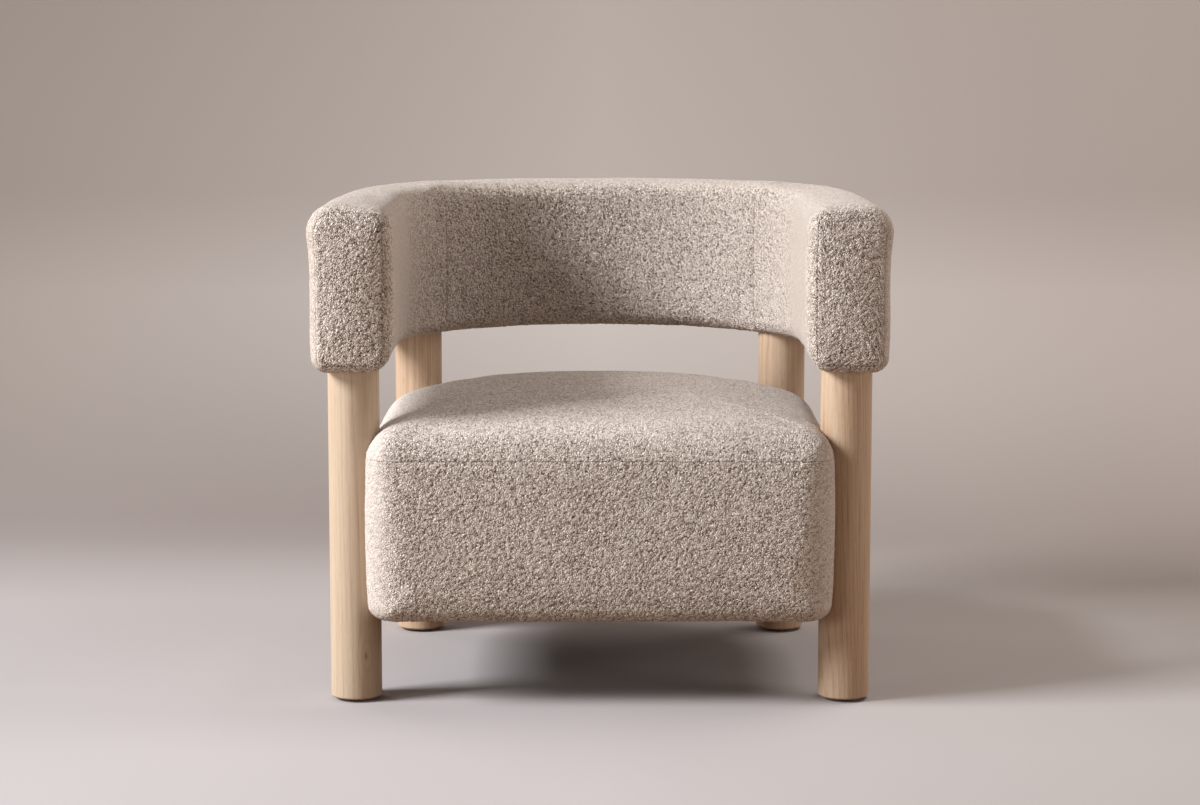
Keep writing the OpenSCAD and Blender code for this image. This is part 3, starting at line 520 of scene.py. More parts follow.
CLOTH_FRAMES = 20
CARRY_COUNT, CARRY_REACH = 6, 2.2 * CELL  # how many coarse points carry a fine one, and from how far
LEVEL = 0.5  # how near to an underside's height a point counts as part of it

# Points inside the seat and inside the band, from which their covers face outwards
SEAT_CORE = np.array([0, -45, 240])
CORE_FRONT, CORE_R = ARM_FRONT + 30, SIDE_R + 12


def is_under(p):
    """Whether points are on the flat underside of the band or of the seat."""
    return (np.abs(p[:, 2] - BAND_LOW) < LEVEL) | (np.abs(p[:, 2] - SEAT_LOW) < LEVEL)


def facing_out(p):
    """Roughly outward directions at points of a cover."""
    out = np.zeros_like(p)
    seat = p[:, 2] < SPLIT_Z
    out[seat] = p[seat] - SEAT_CORE
    q = p[~seat]
    core = np.zeros_like(q)
    core[:, 2] = BAND_LOW + BAND_H / 2
    straight = q[:, 1] < TURN_Y
    core[straight, 0] = np.sign(q[straight, 0]) * ARM_X
    core[straight, 1] = np.maximum(q[straight, 1], CORE_FRONT)
    turn = np.array([0, TURN_Y])
    away = q[~straight, :2] - turn
    core[~straight, :2] = turn + away / np.linalg.norm(away, axis=1)[:, None] * CORE_R
    out[~seat] = q - core
    return out


def inflated(verts, faces, held, cap):
    """How far the cloth of a coarse cover moves under the pressure of its filling, at most cap, in
    millimetres. held says which points are sewn or stapled."""
    ob = new_object("sim", new_mesh("sim", verts, faces.tolist()))
    group = ob.vertex_groups.new(name="pin")
    group.add(np.flatnonzero(held).tolist(), 1.0, "REPLACE")
    cloth = ob.modifiers.new("cloth", "CLOTH")
    settings = cloth.settings
    settings.quality = 5
    settings.mass = 0.3
    settings.tension_stiffness = 20
    settings.compression_stiffness = 20
    settings.shear_stiffness = 10
    settings.bending_stiffness = 1.0
    settings.use_pressure = True
    settings.uniform_pressure_force = 4.0
    settings.vertex_group_mass = "pin"
    settings.effector_weights.gravity = 0
    cloth.collision_settings.use_collision = False
    cloth.point_cache.frame_start = 1
    cloth.point_cache.frame_end = CLOTH_FRAMES
    for frame_number in range(1, CLOTH_FRAMES + 1):
        scene.frame_set(frame_number)
    done = ob.evaluated_get(bpy.context.evaluated_depsgraph_get()).data
    co = np.zeros(len(done.vertices) * 3, np.float32)
    done.vertices.foreach_get("co", co)
    moved = co.reshape(-1, 3) / MM - verts
    scene.frame_set(1)
    bpy.data.objects.remove(ob)
    size = np.linalg.norm(moved, axis=1)[:, None]
    # Close to cap, the movement levels off instead of stopping short
    return moved / np.maximum(size, 1e-9) * cap * np.tanh(size / cap)


def carried(offset, coarse, fine_points):
    """The coarse cover's movement, carried over to the fine one."""
    tree = tree_of(coarse)
    out = np.zeros_like(fine_points)
    for k, p in enumerate(fine_points):
        total = 0.0
        for _, i, distance in tree.find_n(p, CARRY_COUNT):
            weight = max(1.0 - distance / CARRY_REACH, 1e-6) ** 2
            out[k] += offset[i] * weight
            total += weight
        out[k] /= total
    return out


# The pile

CURL_SCALE = 0.28  # of the noise that the curls follow, per millimetre
CURL_MEAN = 0.45  # the pile's height that leaves a point where it is
UNEVEN_SIZE, UNEVEN_HIGH = 85, 0.7  # how wide and how high the filling's unevenness is

# Where the pile is brushed, and so takes the darker brushed colour that is partly painted shade on tops and
# sides: the shares that it loses, and where along an arm its inner face is
BRUSHED_TOP, BRUSHED_SEAT_TOP, BRUSHED_OUTSIDE, BRUSHED_INSIDE = 0.5, 0.2, 0.52, 0.7
INSIDE_START = (ARM_FRONT + 10, ARM_FRONT + 70)
INSIDE_END = (TURN_Y - 60, TURN_Y + 180)

# A seam: how far from it the pile gives way, and how deep it lies
SEAM_NEAR, SEAM_DEEP = 8, 0.5
SEAM_NARROW, SEAM_WIDER = 0.9, 2.2

# How much of a seam shows, and where along it that is less
SEAT_SEAM_SHOWS, BAND_SEAM_SHOWS = 0.75, 0.8
FAINT_X, FAINT_HALF = -20, 90
FAINT_LEFT = (265, 300)
FAINT_OUTSIDE = (ARM_X + 15, ARM_X + 40)

# Where a cover bears on a leg, and where it is clear of it
LEG_BEARS, LEG_CLEARS, LEG_BEARS_Z = LEG_R + 0.6, LEG_R + 7, BAND_LOW + 3


def pile_height(p):
    """The height of the curly pile at a place, from 0 in a crease to 1 on a curl."""
    q = Vector(p) * CURL_SCALE
    q += noise.noise_vector(q * 0.8) * 0.6
    worm = 1 - min(abs(noise.noise(q)) * 3.4, 1.0)
    tuft = 1 - min(noise.voronoi(q * 1.25)[0][0] * 1.3, 1.0)
    return 0.5 * worm + 0.5 * tuft


def unevenness(p):
    """How far the filling stands up or sinks at a place, from about -1 to 1."""
    q = Vector(p) / UNEVEN_SIZE
    return noise.noise(q) + 0.45 * noise.noise(q * 2.3 + Vector((11, 2, 4)))


def nap_of(p, n):
    """How far the pile stands up at points with normals n: 1 where it is fresh, less where it is brushed,
    which also gives it the darker brushed colour, partly painted shade.
    """
    outwards = np.sign(p[:, 0]) * n[:, 0]
    top = smooth(n[:, 2], 0.5, 0.95)
    outside = smooth(outwards, 0.05, 0.65)
    along_arm = smooth(p[:, 1], *INSIDE_START) * (1 - smooth(p[:, 1], *INSIDE_END))
    inside = smooth(-outwards, 0.25, 0.95) * along_arm
    band = (1 - BRUSHED_TOP * top) * (1 - BRUSHED_INSIDE * inside)
    seat = 1 - BRUSHED_SEAT_TOP * top
    return np.where(p[:, 2] > SPLIT_Z, band, seat) * (1 - BRUSHED_OUTSIDE * outside)


def seam_width(p):
    """How wide a seam lies open between the curls that lean over it, in millimetres."""
    return SEAM_NARROW + SEAM_WIDER * max(noise.noise(Vector(p) * 0.09) + 0.3, 0.0)


def seam_shows(p):
    """How much of a seam shows: less at the middle and the left end of the seat's front, and little at the
    arms' outer edges."""
    if p[2] < SPLIT_Z:
        middle = math.exp(-((p[0] - FAINT_X) / FAINT_HALF) ** 2)
        left = float(smooth(-p[0], *FAINT_LEFT))
        return SEAT_SEAM_SHOWS - 0.4 * middle - 0.6 * left
    return BAND_SEAM_SHOWS - 0.65 * float(smooth(abs(p[0]), *FAINT_OUTSIDE))


def leg_contact(p):
    """1 where a cover bears on a leg, falling to 0 a little way from it."""
    out = np.zeros(len(p))
    for leg in LEGS:
        distance = np.linalg.norm(p[:, :2] - leg, axis=1)
        out = np.maximum(out, 1 - smooth(distance, LEG_BEARS, LEG_CLEARS))
    return out * (p[:, 2] < LEG_BEARS_Z)


def piled(verts, normals, seam, rise):
    """(how high the pile is, how far it stands up, how far the surface goes out) at a cover's points. rise is
    the height of fresh curls over their creases, in millimetres."""
    seams = tree_of(verts[seam])
    nap = nap_of(verts, normals)
    height = np.zeros(len(verts))
    lift = np.zeros(len(verts))
    for k, p in enumerate(verts):
        curl = pile_height(p)
        near = seams.find(p)[2]
        free = 1.0
        if near < SEAM_NEAR:
            free = 1 - seam_shows(p) * (1 - min(near / seam_width(p), 1.0))
        full = 0.5 + 0.5 * free
        # Nearer a seam the pile is lower, so that the boucle paints shade along the seam as it does in its
        # creases
        height[k] = curl * full
        lift[k] = rise * (curl - CURL_MEAN) * nap[k] * full - SEAM_DEEP * (1 - free)
        lift[k] += UNEVEN_HIGH * unevenness(p) * free
    bears = leg_contact(verts)
    return height, nap, np.where(bears > 0, np.minimum(lift, lift * (1 - bears)), lift)


# Covers


def runs_along(faces, a, b):
    """Whether the face at a border's edge from a to b goes round in that direction."""
    for face in faces:
        if a in face and b in face:
            return (face.index(b) - face.index(a)) % len(face) == 1


def shell(name, verts, faces, rim, inner, inner_faces, inner_rim):
    """A cover's closed mesh: a fine outer face, a coarse inner face and the strip between their rims."""
    base = len(verts)
    count = len(inner_rim)
    strip = []
    for k in range(count):
        run = [int(rim[(k * FINE + i) % len(rim)]) for i in range(FINE + 1)]
        strip.append(run + [base + int(inner_rim[(k + 1) % count]), base + int(inner_rim[k])])
    outer_faces = faces.tolist()
    if runs_along(outer_faces, int(rim[0]), int(rim[1])):
        strip = [face[::-1] for face in strip]
    all_faces = outer_faces + (inner_faces[:, ::-1] + base).tolist() + strip
    mesh = new_mesh(name, np.vstack([verts, inner]), all_faces)
    rounded = np.ones(len(mesh.polygons), bool)
    rounded[-count:] = False
    mesh.polygons.foreach_set("use_smooth", rounded)
    return mesh


def cover(name, node, build, rise=2.1, cap=2.2, mirrored=False):
    """A cover: a closed shell whose outer face is filled out by at most cap, in millimetres, and carries the
    pile. build(fine) gives its grid."""
    coarse, coarse_faces, coarse_rim, _ = build(1)
    verts, faces, rim, seam = build(FINE)
    if mirrored:
        coarse, verts = coarse * [-1, 1, 1], verts * [-1, 1, 1]
        coarse_faces, faces = coarse_faces[:, ::-1], faces[:, ::-1]
    n = normals_of(coarse, coarse_faces)
    if np.sum(n * facing_out(coarse)) < 0:
        coarse_faces, faces = coarse_faces[:, ::-1], faces[:, ::-1]
        n = -n
    held = is_under(coarse)
    held[coarse_rim] = True
    moved = inflated(coarse, coarse_faces, held, cap)
    verts = verts + carried(moved, coarse, verts)
    coarse = coarse + moved
    n_fine = normals_of(verts, faces)
    height, nap, lift = piled(verts, n_fine, seam, rise)
    verts = verts + n_fine * lift[:, None]
    inner = coarse - n * COVER_T
    mesh = shell(name, verts, faces, rim, inner, coarse_faces, coarse_rim)
    # The pile attribute drives the boucle's painted shade in creases and along seams, and nap drives its
    # brushed colour, which is partly painted shade
    for attribute, values in (("pile", height), ("nap", nap)):
        at = mesh.attributes.new(attribute, "FLOAT", "POINT")
        at.data.foreach_set("value", np.concatenate([values, np.zeros(len(inner))]).astype(np.float32))
    ob = new_object(name, mesh)
    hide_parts(node)
    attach(ob, "root")
    return ob


# Materials


class Nodes:
    """The node tree of a material or a world, built by short calls."""

    def __init__(self, owner):
        self.owner = owner
        owner.use_nodes = True
        self.tree = owner.node_tree

    def join(self, value, socket):
        """Feeds a socket with another node's output, or with a plain value."""
        if isinstance(value, bpy.types.NodeSocket):
            self.tree.links.new(value, socket)
        else:
            socket.default_value = value

    def add(self, kind, inputs=None, **props):
        """A new node, whose inputs are given by name or number."""
        node = self.tree.nodes.new(kind)
        for k, v in props.items():
            setattr(node, k, v)
        for k, v in (inputs or {}).items():
            self.join(v, node.inputs[k])
        return node

    def place(self, scale=(1, 1, 1), shift=(0, 0, 0)):
        """The place on the object, in metres, scaled and then shifted."""
        at = self.add("ShaderNodeTexCoord").outputs["Object"]
        return self.add("ShaderNodeMapping", {"Vector": at, "Scale": scale, "Location": shift}).outputs[0]

    def noise(self, at, scale, detail=2.0, rough=0.5, output="Fac"):
        inputs = {"Vector": at, "Scale": scale, "Detail": detail, "Roughness": rough}
        return self.add("ShaderNodeTexNoise", inputs).outputs[output]

    def cells(self, at, scale, feature="F1"):
        inputs = {"Vector": at, "Scale": scale}
        return self.add("ShaderNodeTexVoronoi", inputs, feature=feature).outputs["Distance"]

    def waves(self, at, scale, direction, distortion=0.0):
        inputs = {"Vector": at, "Scale": scale, "Distortion": distortion}
        return self.add("ShaderNodeTexWave", inputs, bands_direction=direction).outputs["Fac"]

    def ramp(self, fac, *stops):
        """A blend of colours, each at its value of fac."""
        node = self.add("ShaderNodeValToRGB", {"Fac": fac})
        items = node.color_ramp.elements
        while len(items) < len(stops):
            items.new(0.5)
        for item, (pos, colour) in zip(items, stops):
            item.position = pos
            item.color = colour
        return node.outputs["Color"]

    def math(self, kind, a, b=0.0, c=0.0, clamp=False):
        return self.add("ShaderNodeMath", {0: a, 1: b, 2: c}, operation=kind, use_clamp=clamp).outputs[0]

    def vector(self, kind, a, b=(0, 0, 0), output="Vector"):
        return self.add("ShaderNodeVectorMath", {0: a, 1: b}, operation=kind).outputs[output]

    def mix(self, fac, a, b, kind="MIX"):
        return self.add("ShaderNodeMix", {0: fac, 6: a, 7: b}, data_type="RGBA", blend_type=kind).outputs[2]

    def share(self, value, lo, hi):
        """How far a value is on the way from lo to hi, from 0 to 1."""
        return self.add("ShaderNodeMapRange", {"Value": value, "From Min": lo, "From Max": hi}).outputs[0]

    def bell(self, distance, sharpness):
        """1 at no distance, falling off to 0 like a bell."""
        return self.math("POWER", 2.718, self.math("MULTIPLY", self.math("POWER", distance, 2.0), -sharpness))

    def bump(self, height, distance, strength=1.0):
        inputs = {"Height": height, "Distance": distance, "Strength": strength}
        return self.add("ShaderNodeBump", inputs).outputs[0]

    def seen(self):
        """1 for the rays that see the background: the camera's, and those of gloss and glass."""
        ray = self.add("ShaderNodeLightPath").outputs
        gloss_or_glass = self.math("MAXIMUM", ray["Is Glossy Ray"], ray["Is Transmission Ray"])
        return self.math("MAXIMUM", ray["Is Camera Ray"], gloss_or_glass)

    def surface(self, **inputs):
        """Sets the sockets of the material's own shader, named with _ for a space, and gives the material."""
        shader = self.tree.nodes["Principled BSDF"]
        for k, v in inputs.items():
            self.join(v, shader.inputs[k.replace("_", " ")])
        return self.owner


def material(name):
    """The nodes of a new material."""
    return Nodes(bpy.data.materials.new(name))


def grey(value):
    """A grey given as 0 to 255 in sRGB."""
    return srgb(value, value, value)


def darker(colour, share):
    """A share of a colour."""
    return tuple(c * share for c in colour[:3]) + (1.0,)


def boucle(name, crease, body, curl, brushed_and_shaded):
    """Curly pile: small worm-like loops whose relief takes the light, with painted shade darkening the
    creases between them and painted highlights on the curls' tops, and an even tone where it is brushed,
    darker partly as painted shade."""
    m = material(name)
    curls = 345.0
    pile = m.add("ShaderNodeAttribute", attribute_name="pile").outputs["Fac"]
    nap = m.add("ShaderNodeAttribute", attribute_name="nap").outputs["Fac"]
    at = m.place()
    bend = m.vector("MULTIPLY", m.noise(at, 210.0, 1.0, 0.5, "Color"), (0.007, 0.007, 0.007))
    bent = m.vector("ADD", at, bend)
    edge = m.cells(bent, curls, "DISTANCE_TO_EDGE")
    top = m.math("MULTIPLY_ADD", m.cells(bent, curls), -1.25, 1.0, clamp=True)
    fuzz = m.noise(at, 800.0, 2.0, 0.6)
    flank = m.math("MULTIPLY", edge, 2.6, clamp=True)
    relief = m.math("MULTIPLY_ADD", flank, 0.4, m.math("MULTIPLY", top, 0.6))
    relief = m.math("MULTIPLY_ADD", fuzz, 0.2, relief)
    # Painted shade and highlight: fac falls at the cells' edges and, through the pile attribute, in the
    # mesh's creases and along seams, so the ramp paints those in the dark crease colour; on the curls' tops
    # it rises to the lighter curl colour
    fac = m.math("MULTIPLY_ADD", fuzz, 0.2, m.math("SUBTRACT", edge, 0.13))
    fac = m.math("MULTIPLY_ADD", pile, 0.26, fac)
    shade = m.ramp(fac, (0.06, crease), (0.19, body), (0.37, curl))
    broad = m.ramp(m.noise(at, 7.0), (0.3, srgb(248, 246, 244)), (0.7, srgb(255, 254, 252)))
    shade = m.mix(1.0, shade, broad, "MULTIPLY")
    # The brushed colour is the flattened pile's own tone and, because it is darker than the body, it is also
    # partly painted shade on tops and sides
    return m.surface(
        Base_Color=m.mix(nap, brushed_and_shaded, shade), Roughness=m.math("MULTIPLY_ADD", fuzz, 0.12, 0.86),
        Normal=m.bump(relief, 0.0017, nap), Sheen_Weight=0.12, Sheen_Roughness=0.5, Specular_IOR_Level=0.15,
    )


RING = 0.0042  # width of a growth ring, in metres
KNOT_LONG = (1, 1, 0.45)  # scales that make a knot longer than wide


def wood(name, tones, pith, grain, rough=0.5, lean=0.0, knot=None):
    """Upright wood: growth rings about a pith, which shift by lean for each metre up, long fine grain, pores,
    and perhaps a pin knot. tones are light, middle and dark, and grain is its marks' width by length."""
    m = material(name)
    light, middle, dark = tones
    along = m.place((1, 1, grain))
    away = m.vector("LENGTH", m.place((1, 1, 0), (-pith[0], -pith[1], 0)), output="Value")
    wander = m.noise(m.place((1, 1, 0.15)), 13.0)
    away = m.math("ADD", away, m.math("MULTIPLY", m.math("SUBTRACT", wander, 0.5), 0.009))
    up = m.add("ShaderNodeSeparateXYZ", {0: m.place()}).outputs["Z"]
    away = m.math("MULTIPLY_ADD", up, lean, away)
    if knot:
        centre = [a * b for a, b in zip(knot, KNOT_LONG)]
        near = m.vector("DISTANCE", m.place(KNOT_LONG), centre, "Value")
        away = m.math("MULTIPLY_ADD", m.bell(near, 9000.0), 0.006, away)
    ringed = m.math("FRACT", m.math("DIVIDE", away, RING))
    late = m.ramp(ringed, (0.0, grey(110)), (0.2, grey(20)), (0.6, grey(60)), (0.93, grey(215)))
    streak = m.noise(along, 210.0, 5.0, 0.68)
    fibre = m.noise(along, 620.0, 3.0, 0.7)
    pore = m.noise(m.place((1, 1, 2 * grain), (0.1, 0.2, 0)), 1300.0, 1.0)
    fac = m.math("ADD", m.math("MULTIPLY", late, 0.22), m.math("MULTIPLY", streak, 0.72))
    fac = m.math("ADD", fac, m.math("MULTIPLY_ADD", fibre, 0.34, -0.17))
    colour = m.ramp(fac, (0.2, light), (0.48, middle), (0.8, dark))
    pores = m.math("MULTIPLY", m.math("SUBTRACT", pore, 0.6, clamp=True), 2.6)
    colour = m.mix(pores, colour, dark)
    if knot:
        colour = m.mix(m.math("MULTIPLY", m.bell(near, 140000.0), 0.55), colour, srgb(96, 66, 44))
    relief = m.math("SUBTRACT", m.math("MULTIPLY", fibre, 0.5), pores)
    return m.surface(
        Base_Color=colour, Roughness=m.math("MULTIPLY_ADD", streak, 0.14, rough - 0.07),
        Normal=m.bump(relief, 0.0002, 0.5), Specular_IOR_Level=0.35,
    )


def plain(name, colour, rough, metal=0.0, grain=300.0, depth=0.0002, vary=0.12):
    """A fine-grained solid colour: plastic, brushed metal or thin cloth."""
    m = material(name)
    at = m.place()
    fine = m.noise(at, grain, 3.0, 0.6)
    broad = m.noise(at, grain / 12)
    mottle = m.math("ADD", m.math("MULTIPLY", fine, 0.6), m.math("MULTIPLY", broad, 0.4))
    return m.surface(
        Base_Color=m.ramp(mottle, (0.3, darker(colour, 1 - vary)), (0.7, colour)),
        Roughness=m.math("MULTIPLY_ADD", fine, 0.16, rough - 0.08), Metallic=metal,
        Normal=m.bump(fine, depth, 0.6),
    )


def foam(name, colour):
    """Foam, with small open cells."""
    m = material(name)
    at = m.place()
    cell = m.cells(at, 700.0)
    fac = m.math("MULTIPLY_ADD", m.noise(at, 14.0), 0.3, cell)
    shade = m.ramp(fac, (0.2, colour), (0.9, darker(colour, 0.72)))
    return m.surface(Base_Color=shade, Roughness=0.95, Normal=m.bump(cell, 0.0006, 0.7))


def ply(name, light, dark):
    """Plywood: layers in its edges, and long grain on its faces."""
    m = material(name)
    layers = m.waves(m.place(), 420.0, "Z", 0.3)
    grain = m.noise(m.place((1, 0.05, 1)), 120.0, 4.0, 0.6)
    fac = m.math("ADD", m.math("MULTIPLY", layers, 0.35), m.math("MULTIPLY", grain, 0.7))
    colour = m.ramp(fac, (0.25, light), (0.75, dark))
    return m.surface(Base_Color=colour, Roughness=0.62, Normal=m.bump(grain, 0.0003, 0.5))


def webbing(name, light, dark):
    """Woven elastic, with ribs both ways."""
    m = material(name)
    at = m.place()
    weave = m.math("MULTIPLY", m.waves(at, 160.0, "X"), m.waves(at, 160.0, "Y"))
    colour = m.ramp(weave, (0.1, dark), (0.8, light))
    return m.surface(Base_Color=colour, Roughness=0.85, Normal=m.bump(weave, 0.0006, 0.6))


def dress(ob, finish):
    """Gives an object its one material."""
    ob.data.materials.clear()
    ob.data.materials.append(finish)


# Copies of one boucle in different tones: the band's darker creases and brushed tone paint shade on the
# shaded back and the arms' inner faces, and the facings' lighter tones paint light on the arm fronts
SHADED_BAND_CLOTH = boucle(
    "band boucle", crease=srgb(96, 72, 58), body=srgb(223, 210, 200), curl=srgb(249, 238, 229),
    brushed_and_shaded=srgb(182, 170, 160),
)
LIT_FACE_CLOTH = boucle(
    "facing boucle", crease=srgb(98, 74, 60), body=srgb(227, 215, 206), curl=srgb(251, 241, 232),
    brushed_and_shaded=srgb(194, 183, 174),
)
SEAT_CLOTH = boucle(
    "seat boucle", crease=srgb(102, 78, 64), body=srgb(232, 221, 212), curl=srgb(251, 242, 234),
    brushed_and_shaded=srgb(208, 197, 189),
)
NYLON = plain("nylon", srgb(52, 48, 45), 0.5, grain=500.0)
STEEL = plain("zinc steel", srgb(182, 184, 188), 0.35, 1.0, 900.0, 0.0001)
BRASS = plain("brass", srgb(206, 174, 104), 0.32, 1.0, 900.0, 0.0001)
YELLOW_ZINC = plain("yellow zinc", srgb(206, 182, 116), 0.36, 1.0, 900.0, 0.0001)
PLY = ply("birch plywood", srgb(222, 196, 158), srgb(178, 144, 104))
BEECH = (srgb(224, 192, 150), srgb(206, 170, 128), srgb(168, 130, 92))
BLOCK = wood("block beech", BEECH, (0.1, 0.05), 0.08, rough=0.6)
BENT = (srgb(204, 172, 128), srgb(184, 150, 108), srgb(150, 116, 80))
BOARD = wood("bent board", BENT, (0.4, 0.3), 0.1, rough=0.65)
FOAM = foam("foam", srgb(236, 228, 196))
LINING = plain("lining cloth", srgb(58, 56, 55), 0.9, grain=800.0, depth=0.0004, vary=0.3)
ELASTIC = webbing("elastic webbing", srgb(70, 66, 64), srgb(30, 28, 28))
for node, ob in nodes.items():
    if node.endswith(("glide_left", "glide_right")):
        dress(ob, NYLON)
    elif node in ("glide_nails", "leg_bolts", "leg_tee_nuts", "seat_bolts"):
        dress(ob, STEEL)
    elif node == "leg_sleeves":
        dress(ob, BRASS)
    elif node.endswith("_screws"):
        dress(ob, YELLOW_ZINC)
    elif node.endswith(("_plate", "_frame")):
        dress(ob, PLY)
    elif "_rib" in node or "_saddle_" in node:
        dress(ob, BLOCK)
    elif "_board" in node:
        dress(ob, BOARD)


# The hidden soft pieces

FOAM_VOXEL, EDGE_BEVEL = 0.005, 0.0005  # in metres


def soft_copy(name, node, finish):
    """A piece with a soft CAD node's own shape, in its place."""
    ob = new_object(name, nodes[node].data.copy())
    dress(ob, finish)
    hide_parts(node)
    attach(ob, "root")
    return ob


def rounded_foam(name, node):
    """A foam pad, its edges rounded as under a cover."""
    ob = soft_copy(name, node, FOAM)
    remesh = ob.modifiers.new("remesh", "REMESH")
    remesh.mode = "VOXEL"
    remesh.voxel_size = FOAM_VOXEL
    remesh.use_smooth_shade = True
    smoothing = ob.modifiers.new("smooth", "SMOOTH")
    smoothing.factor = 0.5
    smoothing.iterations = 3


def thin_cloth(name, node, finish):
    """Straps or a flat cloth, with softened edges."""
    ob = soft_copy(name, node, finish)
    bevel = ob.modifiers.new("bevel", "BEVEL")
    bevel.width = EDGE_BEVEL
    bevel.segments = 2
    bevel.limit_method = "ANGLE"
    return ob


for name, node in (
    ("inner_padding", "inner_pad"), ("outer_padding", "outer_pad"), ("top_padding", "top_pad"),
    ("front_padding_left", "arm_front_pad_left"), ("front_padding_right", "arm_front_pad_right"),
    ("seat_foam_block", "seat_foam"), ("seat_crown_foam", "seat_topper"),
    ("seat_side_padding", "seat_side_pads"),
):
    rounded_foam(name, node)
thin_cloth("seat_straps", "seat_webbing", ELASTIC)

under = thin_cloth("underside_strip", "underside_cloth", LINING)
dust = thin_cloth("seat_bottom_cloth", "seat_dust_cloth", LINING)


# The legs

# Lit and shaded copies of one ash: the lit front left leg is pale, and the three legs that stand in shade
# take darker, warmer tones as painted shade
LIT_ASH = (srgb(202, 184, 162), srgb(191, 168, 143), srgb(160, 131, 103))
SHADED_ASH = (srgb(204, 180, 156), srgb(188, 159, 131), srgb(134, 97, 69))
PITH_OUT = 62  # from a leg's middle to the pith of the tree it was turned from
LEG_GRAIN = (
    # node, place, tones, angle of the pith, lean of the rings, knot in metres
    ("front_leg_left", LEGS[2], LIT_ASH, 2.2, 0.004, (-0.329, -0.323, 0.067)),
    ("front_leg_right", LEGS[0], SHADED_ASH, 0.5, -0.035, None),
    ("rear_leg_left", LEGS[3], SHADED_ASH, 4.4, 0.012, None),
    ("rear_leg_right", LEGS[1], SHADED_ASH, 1.3, -0.01, None),
)
for node, (x, y), tones, angle, lean, knot in LEG_GRAIN:
    pith = ((x + PITH_OUT * math.cos(angle)) * MM, (y + PITH_OUT * math.sin(angle)) * MM)
    leg = new_object("ash_" + node, nodes[node].data.copy())
    leg.data.polygons.foreach_set("use_smooth", [True] * len(leg.data.polygons))
    leg.data.set_sharp_from_angle(angle=math.radians(30))
    dress(leg, wood("ash " + node.replace("_", " "), tones, pith, 0.022, lean=lean, knot=knot))
    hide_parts(node)
    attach(leg, "root")


# The covers

SIDES = (("right", False), ("left", True))
FRONT_EDGE, REAR_EDGE = LEG_S[0] - NOSE, LEG_S[1] + NOSE
SIDE_PANEL = panel(LEG_S[0] + NOSE, LEG_S[1] - NOSE)

dress(cover("back_boucle", "back_cover", back_cover, rise=2.8), SHADED_BAND_CLOTH)
for side, mirrored in SIDES:
    arm = cover("arm_boucle_" + side, "arm_cover_" + side, arm_cover, mirrored=mirrored)
    dress(arm, SHADED_BAND_CLOTH)
for side, mirrored in SIDES:
    face = cover("facing_boucle_" + side, "arm_facing_" + side, facing, 2.5, 1.0, mirrored)
    dress(face, LIT_FACE_CLOTH)

dress(cover("seat_top_boucle", "seat_top_cover", seat_top, rise=1.7, cap=3.0), SEAT_CLOTH)
front_panel = panel(-FRONT_EDGE, FRONT_EDGE)
dress(cover("seat_front_boucle", "seat_front_panel", front_panel), SEAT_CLOTH)
for side, mirrored in SIDES:
    piece, node = "seat_side_boucle_" + side, "seat_side_panel_" + side
    dress(cover(piece, node, SIDE_PANEL, mirrored=mirrored), SEAT_CLOTH)
rear_panel = panel(REAR_EDGE, SEAT_AROUND - REAR_EDGE)
dress(cover("seat_rear_boucle", "seat_rear_panel", rear_panel), SEAT_CLOTH)


# The stage

# The floor turns up softly into the backdrop, as one sheet of paper
FLOOR_END, WALL_TURN, WALL_TOP = 950.0, 600.0, 7000.0
PAPER_REACH = 12000.0
FADE_FROM, FADE_TO = 3.5, 6.5  # in metres from the origin


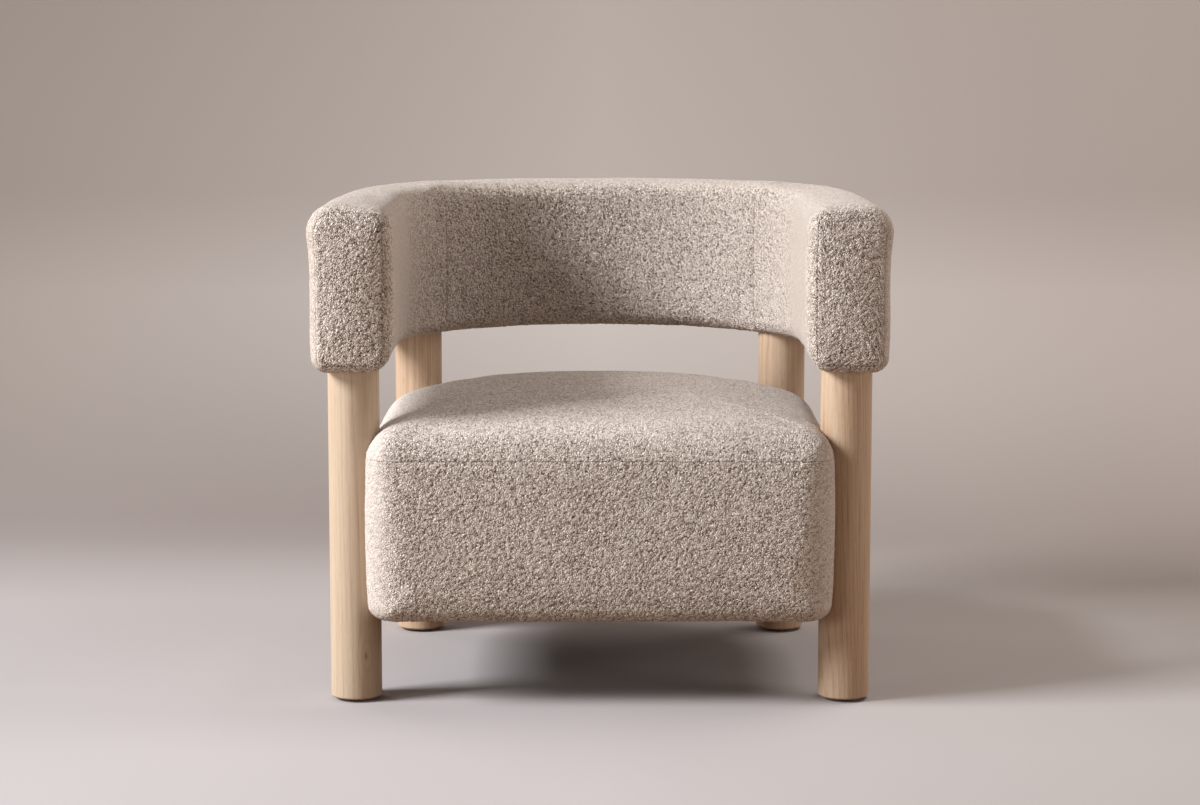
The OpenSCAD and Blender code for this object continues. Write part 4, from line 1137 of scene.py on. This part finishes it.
def studio_paper():
    """Pale paper, in metres. The camera, gloss and glass see its floor and wall tones, which paint light and
    shade: lightest behind the object, with painted shade to the left, at the wall's foot and up the wall. The
    object gets less of its light."""
    m = material("studio paper")
    at = m.place()
    axes = m.add("ShaderNodeSeparateXYZ", {0: at}).outputs
    x, y, z = axes["X"], axes["Y"], axes["Z"]
    # Painted shade: the floor darkens towards the foot of the wall
    floor = m.ramp(m.share(y, -0.6, 1.4), (0.0, srgb(194, 188, 187)), (0.5, srgb(181, 174, 172)),
                   (0.85, srgb(145, 135, 131)), (1.0, srgb(134, 124, 118)))
    # Painted light and shade across the floor: darkest far to the left, lightest behind the object
    across = m.ramp(m.share(x, -4.0, 1.0), (0.0, grey(150)), (0.3, grey(188)), (0.6, grey(242)),
                    (0.8, srgb(250, 249, 249)), (1.0, srgb(230, 228, 225)))
    # Painted light on the floor far to the right, behind the object
    far_right_painted_light = m.math("MULTIPLY", m.share(x, -0.5, 0.7), m.share(y, 0.4, 1.1))
    floor = m.mix(far_right_painted_light, floor, srgb(159, 150, 146))
    floor = m.mix(1.0, floor, across, "MULTIPLY")
    # Painted shade on the wall: darker to the left and, less so, to the right of the middle
    wall = m.ramp(m.share(x, -1.3, 1.3), (0.0, srgb(142, 133, 127)), (0.5, srgb(191, 184, 179)),
                  (1.0, srgb(172, 162, 157)))
    # Painted shade: a little darker higher up the wall
    upper = m.ramp(m.share(z, 0.2, 1.0), (0.0, grey(255)), (1.0, srgb(232, 230, 228)))
    wall = m.mix(1.0, wall, upper, "MULTIPLY")
    paper = m.mix(m.share(z, 0.02, 0.4), floor, wall)
    # Towards the object the floor throws back only a little warm light, and the wall more
    bounce = m.mix(m.share(y, -1.0, -0.35), srgb(168, 149, 136), srgb(120, 92, 75))
    bounce = m.mix(m.share(z, 0.02, 0.4), bounce, srgb(150, 141, 135))
    m.surface(Base_Color=m.mix(m.seen(), bounce, paper), Roughness=0.95, Specular_IOR_Level=0.05)
    # The paper fades out far away, and shows only from the side that the object stands on
    kept = m.share(m.vector("LENGTH", at, output="Value"), FADE_TO, FADE_FROM)
    behind = m.add("ShaderNodeNewGeometry").outputs["Backfacing"]
    kept = m.math("MULTIPLY", kept, m.math("SUBTRACT", 1.0, behind))
    clear = m.add("ShaderNodeBsdfTransparent").outputs[0]
    lit = m.tree.nodes["Principled BSDF"].outputs[0]
    either = m.add("ShaderNodeMixShader", {0: kept, 1: clear, 2: lit}).outputs[0]
    m.join(either, m.tree.nodes["Material Output"].inputs[0])
    return m.owner


STUDIO_PAPER = studio_paper()


def paper_sheet(name, line):
    """A wide sheet of the studio's paper along a line of [y, z], as a part of the stage."""
    points = [(x, y, z) for y, z in line for x in (-PAPER_REACH, PAPER_REACH)]
    faces = [[2 * i, 2 * i + 1, 2 * i + 3, 2 * i + 2] for i in range(len(line) - 1)]
    ob = new_object(name, new_mesh(name, points, faces))
    ob.data.polygons.foreach_set("use_smooth", [True] * len(faces))
    dress(ob, STUDIO_PAPER)


profile = [(-PAPER_REACH, 0.0), (FLOOR_END, 0.0)]
for t in np.linspace(0, math.pi / 2, 25)[1:]:
    profile.append((FLOOR_END + WALL_TURN * math.sin(t), WALL_TURN * (1 - math.cos(t))))
profile.append((FLOOR_END + WALL_TURN, WALL_TOP))
paper_sheet("studio", profile)
# From behind, where the backdrop doesn't show, the floor runs on
paper_sheet("studio_rear", [(FLOOR_END, 0.0), (PAPER_REACH, 0.0)])


def lamp(name, place, aim, energy, size, colour):
    """A square soft light at a place, in metres, turned towards another. The camera doesn't see it."""
    data = bpy.data.lights.new(name, "AREA")
    data.energy = energy
    data.color = colour
    data.size = size
    ob = bpy.data.objects.new(name, data)
    ob.location = place
    ob.visible_camera = False
    ob.rotation_euler = (Vector(aim) - Vector(place)).to_track_quat("-Z", "Y").to_euler()
    scene.collection.objects.link(ob)


LAMPS = (
    # name, place, aim, energy in watts, size, colour
    ("key", (-6.2, -2.2, 4.5), (0.0, 0.0, 0.4), 950, 2.6, (0.94, 0.967, 1.0)),
    ("front fill", (-2.1, -2.0, 0.66), (0.0, 0.0, 0.3), 17, 1.0, (1.0, 0.95, 0.9)),
    ("side fill", (2.6, -1.0, 0.75), (0.0, 0.0, 0.2), 14, 1.0, (1.0, 0.88, 0.78)),
    ("rear fill left", (-1.7, 1.3, 0.9), (0.0, 0.1, 0.4), 5, 0.8, (1.0, 1.0, 1.0)),
    ("rear fill right", (1.8, 1.2, 0.9), (0.0, 0.1, 0.4), 3, 0.8, (1.0, 0.94, 0.88)),
    ("floor fill", (1.5, 0.4, 2.4), (1.2, 0.4, 0.0), 30, 1.4, (1.0, 0.96, 0.93)),
)
for row in LAMPS:
    lamp(*row)

# The world is a dim warm light, and a pale background where it is seen
SKY_LIGHT, SKY_SEEN = (0.07, 0.052, 0.039, 1), srgb(186, 176, 170)
sky = Nodes(bpy.data.worlds.new("world"))
scene.world = sky.owner
sky_colour = sky.mix(sky.seen(), SKY_LIGHT, SKY_SEEN)
sky.join(sky_colour, sky.tree.nodes["Background"].inputs[0])


# The camera, placed in metres and degrees, with its lens in millimetres

EYE = (0, -4.4543, 0.98752)
LOOKS_DOWN = 7.7306
LENS, SENSOR, FAR = 90.0, 36.0, 60

camera = bpy.data.cameras.new("camera")
camera.lens = LENS
camera.sensor_width = SENSOR
camera.sensor_fit = "HORIZONTAL"
camera.clip_end = FAR
eye = bpy.data.objects.new("camera", camera)
eye.location = EYE
eye.rotation_euler = (math.radians(90 - LOOKS_DOWN), 0, 0)
scene.collection.objects.link(eye)
scene.camera = eye
